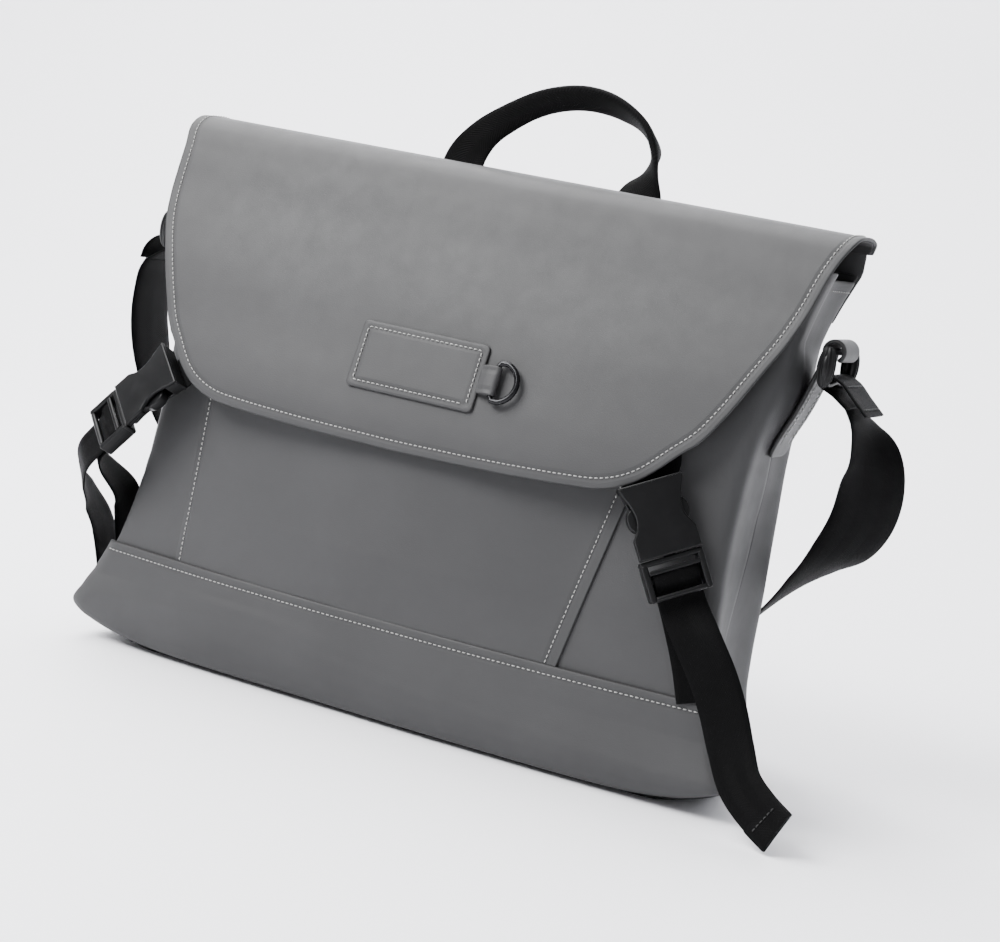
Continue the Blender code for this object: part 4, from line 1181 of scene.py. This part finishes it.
def ring_tab():
    """Leather loop that comes out from under the patch, goes round the ring's bar and back."""
    frame_on_flap = flap_frame(*PATCH_CENTRE, 0.4)
    start = PATCH_SIZE[0] / 2 + 0.4
    bar = PATCH_SIZE[0] / 2 + TAB_BAR
    section = [(start, 0.9), (bar - 4, 0.9)] + arc((bar, BAR_LIFT), TAB_RADIUS, -90, 90, 12)
    section += [(bar - 4, 5.2), (start, 2.9)]
    columns = np.linspace(-TAB_HALF_WIDTH, TAB_HALF_WIDTH, 24)
    grid = np.array([[(x, y, z) for y in columns] for x, z in along(section, 40)])
    lines = [grid[-14:-3, 3], grid[-14:-3, -4]]
    place = moved(grid.reshape(-1, 3), frame_on_flap).reshape(grid.shape)
    seams = [moved(line, frame_on_flap) for line in lines]
    sheet_piece("d_ring_tab", place, 1.2, LEATHER_FINISH, "flap", "leather_dark", seams)


def d_ring():
    """Ring with a straight bar along Y and a bow that opens along X."""
    place = flap_frame(*PATCH_CENTRE, 0.4) @ Matrix.Translation((PATCH_SIZE[0] / 2 + TAB_BAR, 0, BAR_LIFT))
    bar = [(0, y, 0) for y in np.linspace(-8.6, 8.6, 12)]
    bow = [(2.0 + x, y, 0) for x, y in arc((0, 0), D_RING_RADIUS, 76, -76, 40)]
    path = bar + [(1.2, 10.6, 0)] + bow + [(1.2, -10.6, 0)]
    look("d_ring", tube(path, D_RING_WIRE, 16, closed=True), METAL_FINISH, "d_ring", "metal_black", place)


# ---------------------------------------------------------------- carry handle

HANDLE_ROUTE = (((-53, 48.5, 289.2), (1, 0, 0), 27), ((-52.5, 49.5, 301), (1, 0, 0), 27),
                ((-51, 50.5, 312), (1, 0, -0.1), 25), ((-43, 52, 327), (0.75, 0.1, -0.65), 19),
                ((-29, 54, 340), (0.5, 0.25, -0.8), 16), ((-7, 56, 353), (0.15, 0.35, -0.92), 15),
                ((16, 57.5, 358), (0, 0.45, -0.9), 15), ((37, 58, 355), (-0.15, 0.7, -0.7), 15),
                ((54, 58, 346), (-0.3, 1, -0.3), 15), ((62, 57.5, 334), (-0.2, 1, 0), 16),
                ((62, 55.5, 324), (-0.6, 0.8, 0), 19), ((60, 52.5, 312), (-1, 0.25, 0), 27),
                ((58.5, 50, 301), (-1, 0, 0), 29), ((58, 48.5, 289.2), (-1, 0, 0), 29))
GRIP_THICKNESS = 5.2
HANDLE_THICKNESS = 2.2
HANDLE_RINGS = 150
HANDLE_SIDES = 36
HANDLE_ENDS = (("handle_end_left", -53.0), ("handle_end_right", 58.0))  # name and X
HANDLE_END_HEIGHTS = (246.0, 287.0)
HANDLE_END_Y = 46.1
HANDLE_END_THICKNESS = 1.5


def carry_handle():
    """Webbing handle: flat at its ends and folded round a filler in its grip."""
    places, directions, widths = zip(*HANDLE_ROUTE)
    centres, towards = swept(places, directions, HANDLE_RINGS)
    wide = along(places, HANDLE_RINGS, [(width,) for width in widths])[:, 0]
    grip = np.clip((23 - wide) / 7, 0, 1)
    thick = HANDLE_THICKNESS + (GRIP_THICKNESS - HANDLE_THICKNESS) * grip
    ahead = tangents_of(centres)
    across = unit(towards - ahead * np.sum(towards * ahead, axis=1, keepdims=True))
    out = np.cross(ahead, across)
    lengths = lengths_along(centres)
    turns = np.linspace(0, 2 * math.pi, HANDLE_SIDES, endpoint=False)
    rings, uv = [], []
    for i in range(HANDLE_RINGS):
        power = 0.35 + 0.35 * grip[i]
        ring = []
        for t in turns:
            x = math.copysign(abs(math.cos(t)) ** power, math.cos(t)) * wide[i] / 2
            y = math.copysign(abs(math.sin(t)) ** 0.7, math.sin(t)) * thick[i] / 2
            ring.append(centres[i] + across[i] * x + out[i] * y)
            uv.append((x + y * grip[i], lengths[i]))
        rings.append(ring)
    look("carry_handle", loft(rings), HANDLE_FINISH, "handle", "webbing_black", uv=uv, sharp=70)


def handle_ends():
    """The handle's flat ends on the back, each sewn with a box and a cross."""
    face_y = HANDLE_END_Y + 0.8
    low, high = HANDLE_END_HEIGHTS[0] + 4, HANDLE_END_HEIGHTS[1] - 4
    for name, x in HANDLE_ENDS:
        centres = [(x, HANDLE_END_Y, z) for z in np.linspace(*HANDLE_END_HEIGHTS, 12)]
        strap_piece(name + "_look", centres, [(1, 0, 0)] * 12, HANDLE_WIDTH, HANDLE_END_THICKNESS, "bag",
                    [name], finish=HANDLE_FINISH)
        left, right = x - 11, x + 11
        box = rounded_rectangle((left, right), (low, high), 1, 3)
        lines = (box + box[:1], [(left, low), (right, high)], [(right, low), (left, high)])
        paths = [([(px, face_y, pz) for px, pz in line], [(0, 1, 0)] * len(line)) for line in lines]
        stitches(name + "_stitches", paths, "bag", "webbing_black")


# ---------------------------------------------------------------- closures

# Each buckle: degrees that it faces outwards, leans outwards and looks up, and the place of its mouth
BUCKLE_POSES = {"right": (30.0, 25.0, 14.0, (153.5, -56.0, 133.0)),
                "left": (24.0, 32.0, 24.0, (-184.8, -54.0, 137.5))}
SOCKET_HALF = ((17, 0), (17, 4), (16.9, 8), (16.6, 12), (15.6, 13.6), (14, 16), (12.9, 19), (12.6, 22),
               (12.9, 25), (13.8, 28.5), (15.2, 32), (16.6, 35.6), (17.6, 39.5))
SOCKET_BACK_HALF = ((13.4, 17.4), (12.4, 22), (12.9, 26), (14.4, 31), (15.4, 33.3))
# X and Y of each plate of the plug, its corners' radius, its Z, and its edges' radius
PLUG_PLATES = (((-17, 17), (-3.4, -0.4), 1.2, (-4.4, 4.2), 0.9),  # collar
               ((-17, -13.6), (-22, -2), 1.4, (-4.4, 4.4), 0.9),  # rails
               ((13.6, 17), (-22, -2), 1.4, (-4.4, 4.4), 0.9),
               ((-14, 14), (-12.6, -9.2), 1.2, (-2.2, 1.4), 1.0),  # bar with the webbing round it
               ((-14, 14), (-8.2, -5.6), 1.0, (3.0, 4.8), 0.85),  # ridge across the front
               ((-14, 14), (-22, -19.2), 1.2, (0.8, 4.4), 1.2),  # outer bar
               ((-3.5, 3.5), (-1, 22), 1.4, (-2.2, 1.6), 0.7))  # tongue
ARM_OUTLINE = ((-1.4, 0.7), (1.6, 0.7), (1.9, 8), (2.2, 12.5), (3.4, 14.4), (5.6, 16.6), (6.6, 19.5), (6.7, 22.5),
               (5.8, 25.4), (4.0, 27.2), (1.6, 27.5), (0.4, 26), (-0.6, 21), (-1.2, 12))


def buckle_frame(label, side):
    """Frame of one closure buckle: origin at the socket's mouth, Y up its middle, Z outwards."""
    *angles, mouth = BUCKLE_POSES[label]
    turn, slant, pitch = (math.radians(angle) for angle in angles)
    facing = Vector((side * math.sin(turn), -math.cos(turn), 0))
    level = Vector((side * math.cos(turn), math.sin(turn), 0))
    vertical = Vector((0, 0, 1))
    out = facing * math.cos(pitch) + vertical * math.sin(pitch)
    up = (vertical * math.cos(pitch) - facing * math.sin(pitch)) * math.cos(slant) - level * math.sin(slant)
    place = Matrix((up.cross(out), up, out)).transposed().to_4x4()
    place.translation = Vector(mouth)
    return place


def mirrored(half):
    return list(half) + [(-x, y) for x, y in reversed(half)]


def socket(label, place):
    """Front plate with a waist, side walls, a back plate, and the posts and bar that hold the webbing."""
    plate = pillow(mirrored([tuple(p) for p in along(SOCKET_HALF, 40)]), 2.9, 5.6, 0.9)
    back = pillow(mirrored(SOCKET_BACK_HALF), -5.4, -3.6, 0.6)
    bar = pillow(mirrored([(15.8, 36.4), (16.8, 39.2)]), -5.2, 3.2, 1.0)
    cheek = pillow(mirrored([(0.8, 29.2), (0.8, 33.4)]), -5.0, 5.0, 0.3)
    walls, posts = [], []
    for side in (-1, 1):
        outline = rounded_rectangle((side * 15.4 - 1.4, side * 15.4 + 1.4), (0.2, 12.2), 1, 4)
        walls.append(pillow(outline, 1.0, 5.0, 0.5))
        outline = [(side * x, y) for x, y in ((13.4, 31), (14.8, 31), (16.6, 39), (13.6, 39))]
        posts.append(pillow(outline, -5.0, 4.0, 0.5))
    shape = joined(plate, back, bar, *walls, cheek, *posts)
    look("buckle_socket_" + label, shape, PLASTIC_FINISH, "flap", "plastic_black", place, sharp=40)


def plug(label, place):
    """Plug: its bars, rails and tongue are plates, listed in PLUG_PLATES."""
    plates = [pillow(rounded_rectangle(x, y, radius, 4), *z, edge) for x, y, radius, z, edge in PLUG_PLATES]
    shape = joined(*plates)
    look("buckle_plug_" + label, shape, PLASTIC_FINISH, "plug_" + label, "plastic_black", place, sharp=40)


def release_arms(label, outwards, place):
    """Two spring arms whose round pads stand in the socket's side windows."""
    for name, side in (("inner", -outwards), ("outer", outwards)):
        outline = [(side * (10 + x), y) for x, y in ARM_OUTLINE]
        shape = pillow(along(outline + outline[:1], 60)[:-1], -3.6, 2.3, 0.8)
        arm = f"{label}_{name}"
        look("release_arm_" + arm, shape, PLASTIC_FINISH, "arm_" + arm, "plastic_black", place, sharp=40)


# Where each closure webbing is sewn down: two places and its width direction
STRAP_FEET = {"right": (((182, -46.4, 60.2), (175.5, -47.5, 80)), (1, 0.25, 0.05)),
              "left": (((-191, -21, 61.5), (-191.5, -29, 84)), (0.05, 1, 0))}
# Loose tails below the plugs: place and width direction
TAIL_ROUTES = {
    "right": (((177.8, -58, 93.7), (0.95, 0.25, 0.25)), ((190.8, -59, 76), (0.95, 0.25, 0.3)),
              ((199, -60, 62), (0.85, 0.2, 0.5)), ((207.8, -62, 44), (0.8, 0.1, 0.6)),
              ((217, -66, 29), (0.7, 0, 0.7)), ((231, -71, 19), (0.55, 0, 0.84)),
              ((244, -76, 13), (0.4, 0, 0.92))),
    "left": (((-207, -56, 106), (-0.7, 0.55, 0.4)), ((-212, -48, 93), (-0.6, 0.75, 0.1)),
             ((-213, -35, 80), (-0.3, 0.95, 0)),
             ((-211, -21, 64), (-0.1, 1, 0)), ((-208, -12, 43), (0, 1, 0.1)), ((-207, -5, 22), (0, 1, 0.3))),
}
# Webbings that hold the sockets: from the seam under the flap down
WEBBING_ROUTES = {"right": ((118, -41, 203), (127, -41.5, 191), (133, -43.5, 178)),
                  "left": ((-136, -40, 203), (-146, -41.5, 191), (-152.5, -42.5, 179))}
# Y and Z, in the buckle's frame, of the webbing round the plug's bar
STRAP_LOOP = ((-27, -4.2), (-19, -3.6), (-13, -3.8), (-10.5, -3.8), (-8.4, -3.2), (-7.0, -1.4), (-6.8, 0.4),
              (-7.8, 2.2), (-10.5, 3.0), (-13.5, 2.4), (-16.5, 0.2), (-19.5, -1.3), (-25, -1.8))


TAIL_POINTS = 160
TAIL_HEM_START = 142  # the hem and its stitches, as points of the tail
TAIL_STITCH = 147
SOCKET_WRAP = ((37.5, -7.6), (35.0, -6.4), (34.6, -3.0), (34.8, 1.6))  # Y and Z of the webbing in the socket


def closure_strap(label, side, place):
    """Webbing from the band's edge up, round the plug's bar and down as the loose tail."""
    across = tuple(place.to_3x3() @ Vector((side, 0, 0)))
    rise, foot = STRAP_FEET[label]
    loop = [tuple(place @ Vector((0, y, z))) for y, z in STRAP_LOOP]
    places, directions = zip(*TAIL_ROUTES[label])
    route = list(rise) + loop + list(places)
    towards = [foot, foot] + [across] * len(loop) + list(directions)
    centres, across_strap = swept(route, towards, 260)
    node = "closure_strap_" + label
    strap = strap_piece(node + "_look", centres, across_strap, CLOSURE_WIDTH, WEBBING, None, [node], camber=0.4)
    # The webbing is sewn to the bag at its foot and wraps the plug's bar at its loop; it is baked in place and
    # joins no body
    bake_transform(strap)
    tail_hem(label, *swept(loop[-1:] + list(places), [across] + list(directions), TAIL_POINTS))


def tail_hem(label, centres, towards):
    """Folded and sewn hem at the tail's end."""
    part = slice(TAIL_HEM_START, TAIL_POINTS)
    out = unit(np.cross(tangents_of(centres), towards))
    strap_piece("tail_hem_" + label, centres[part] + out[part] * (WEBBING + 0.1), towards[part],
                CLOSURE_WIDTH - 0.4, WEBBING, "bag")
    row = centres[TAIL_STITCH] + unit(towards[TAIL_STITCH]) * np.array([[-10.5], [10.5]])
    away = out[TAIL_STITCH]
    paths = [(row + away * (WEBBING * 1.5 + 0.2), [away] * 2),
             (row - away * (WEBBING * 0.5 + 0.1), [-away] * 2)]
    stitches("tail_stitches_" + label, paths, "bag", "webbing_black")


def upper_webbing(label, side, place):
    """Webbing from the seam under the flap to the socket."""
    across = tuple(place.to_3x3() @ Vector((side, 0, 0)))
    route = list(WEBBING_ROUTES[label]) + [tuple(place @ Vector((0, y, z))) for y, z in SOCKET_WRAP]
    directions = [(side, 0.15, 0.1), (side, 0.2, 0), (side, 0.25, -0.2)] + [across] * len(SOCKET_WRAP)
    node = "upper_webbing_" + label
    strap_piece(node + "_look", *swept(route, directions, 90), CLOSURE_WIDTH, WEBBING, "flap", [node])


# ---------------------------------------------------------------- shoulder suspension

RING_BAR = (203.0, 249.0)
RING_HEIGHT = 16.0
# X and Z of each strap end's upper layer on the right side, from its tip to the ring
STRAP_END_TIPS = {"right": ((227.5, 219.5), (219, 227), (211, 234)),
                  "left": ((221.5, 221), (220, 227), (217, 231.5), (211, 235.6))}
STRAP_END_UNDER = ((208.5, 226.6), (212, 224.3), (216.4, 221.4))  # its lower layer, from the ring out
TAB_CORNER = 4.0
TAB_HALF = 12.5
TAB_THICKNESS = 2.4
TAB_SEWN = slice(12, 62)  # rows of the tab with stitches
RING_HALF = 22.5
RING_ROD = 2.0
END_RINGS = 36
END_SIDES = 64
END_RIBS = 9


def side_tab(label, side):
    """Long leather tab, sewn down at its lower end and rolled round the ring's bar at its top."""
    x, z = RING_BAR
    roll = [(x + 4.2 * math.cos(t), z + 4.2 * math.sin(t)) for t in np.radians(np.linspace(190, -50, 13))]
    section = along([(side * px, pz) for px, pz in list(TAB_SECTION) + roll], 110)
    rows = []
    for (px, pz), place in zip(section, lengths_along(section)):
        corner = TAB_CORNER - min(place, TAB_CORNER)
        reach = TAB_HALF - TAB_CORNER + math.sqrt(max(0.0, TAB_CORNER ** 2 - corner ** 2))
        rows.append([(px, RING_Y + share * reach, pz) for share in np.linspace(-1, 1, 30)])
    grid = np.array(rows)
    lines = [grid[TAB_SEWN, 5], grid[TAB_SEWN, -6]]
    node, facing = "side_tab_" + label, (side, 0, 0)
    sheet_piece(node, grid, TAB_THICKNESS, DARK_LEATHER_FINISH, "bag", "leather_dark", lines, facing)
    out = facing_normals(grid, facing)[TAB_SEWN, 5]
    stitches(node + "_stitches", [(line, out) for line in lines], "bag", "leather_dark")


def ribbed_end(place, low):
    """Oval grip at one end of the ring, with ribs along it."""
    rings = []
    for h in np.linspace(3.0, low - 3.0, END_RINGS):
        room = math.sqrt(max(0.01, 1 - ((h - low / 2) / 11.2) ** 2))
        ring = []
        for t in np.linspace(0, 2 * math.pi, END_SIDES, endpoint=False):
            rib = math.cos(END_RIBS * t)
            wide, deep = room * (3.0 + 0.3 * rib), room * (4.8 + 0.4 * rib)
            ring.append((place + wide * math.cos(t), h, deep * math.sin(t)))
        rings.append(ring)
    return loft(rings)


def side_ring(label, side):
    """Flat ring of stiff rod between two thick ribbed ends."""
    x, z = RING_BAR
    place = Matrix(((0, 0, side, side * x), (side, 0, 0, RING_Y), (0, 1, 0, z), (0, 0, 0, 1)))
    low = -RING_HEIGHT
    route = [(-20, 0, 0), (0, 0, 0), (20, 0, 0), (RING_HALF, -2, 0), (RING_HALF, low + 2, 0), (20, low, 0),
             (0, low, 0), (-20, low, 0), (-RING_HALF, low + 2, 0), (-RING_HALF, -2, 0)]
    wire = tube(along(route + route[:1], 120)[:-1], RING_ROD, 16, closed=True)
    shape = joined(wire, ribbed_end(-RING_HALF, low), ribbed_end(RING_HALF, low))
    look("side_ring_" + label, shape, PLASTIC_FINISH, "ring_" + label, "plastic_black", place, sharp=60)


def strap_end(label, side):
    """Folded end of the shoulder strap: looped round the ring's lower bar and sewn on itself."""
    x, z = RING_BAR[0], RING_BAR[1] - RING_HEIGHT
    turn = [(x + 3.4 * math.cos(t), z + 3.4 * math.sin(t)) for t in np.radians(np.linspace(60, 245, 9))]
    tip = list(STRAP_END_TIPS[label])
    section = tip + turn[1:] + list(STRAP_END_UNDER)
    centres = along([(side * px, RING_Y, pz) for px, pz in section], 90)
    strap_piece("strap_end_" + label + "_look", centres, [(0, 1, 0)] * 90, SHOULDER_WIDTH - 2, WEBBING,
                "ring_" + label, ["strap_end_" + label], camber=0.3, finish=SHOULDER_FINISH)
    top = along([(side * px, 0, pz) for px, pz in tip], 20)
    lift = np.array((side * 0.5, 0, 0.87)) * (WEBBING / 2 + 0.15)
    rows = [[top[row] + lift + (0, RING_Y + y, 0) for y in (-14.5, 14.5)] for row in (3, 16)]
    paths = [(row, [tuple(lift)] * 2) for row in rows]
    stitches("strap_end_" + label + "_stitches", paths, "ring_" + label, "webbing_black")


# ---------------------------------------------------------------- assembly

front_panel()
back_panel()
bottom_band()
base()
pocket_panel()
lining()
laptop_divider()
flap()
flap_back_strip()
patch()
ring_tab()
d_ring()
carry_handle()
handle_ends()
for side_label, side_sign in SIDES:
    side_wall(side_label, side_sign)
    buckle_place = buckle_frame(side_label, side_sign)
    socket(side_label, buckle_place)
    plug(side_label, buckle_place)
    release_arms(side_label, side_sign, buckle_place)
    closure_strap(side_label, side_sign, buckle_place)
    upper_webbing(side_label, side_sign, buckle_place)
    side_tab(side_label, side_sign)
    side_ring(side_label, side_sign)
    strap_end(side_label, side_sign)
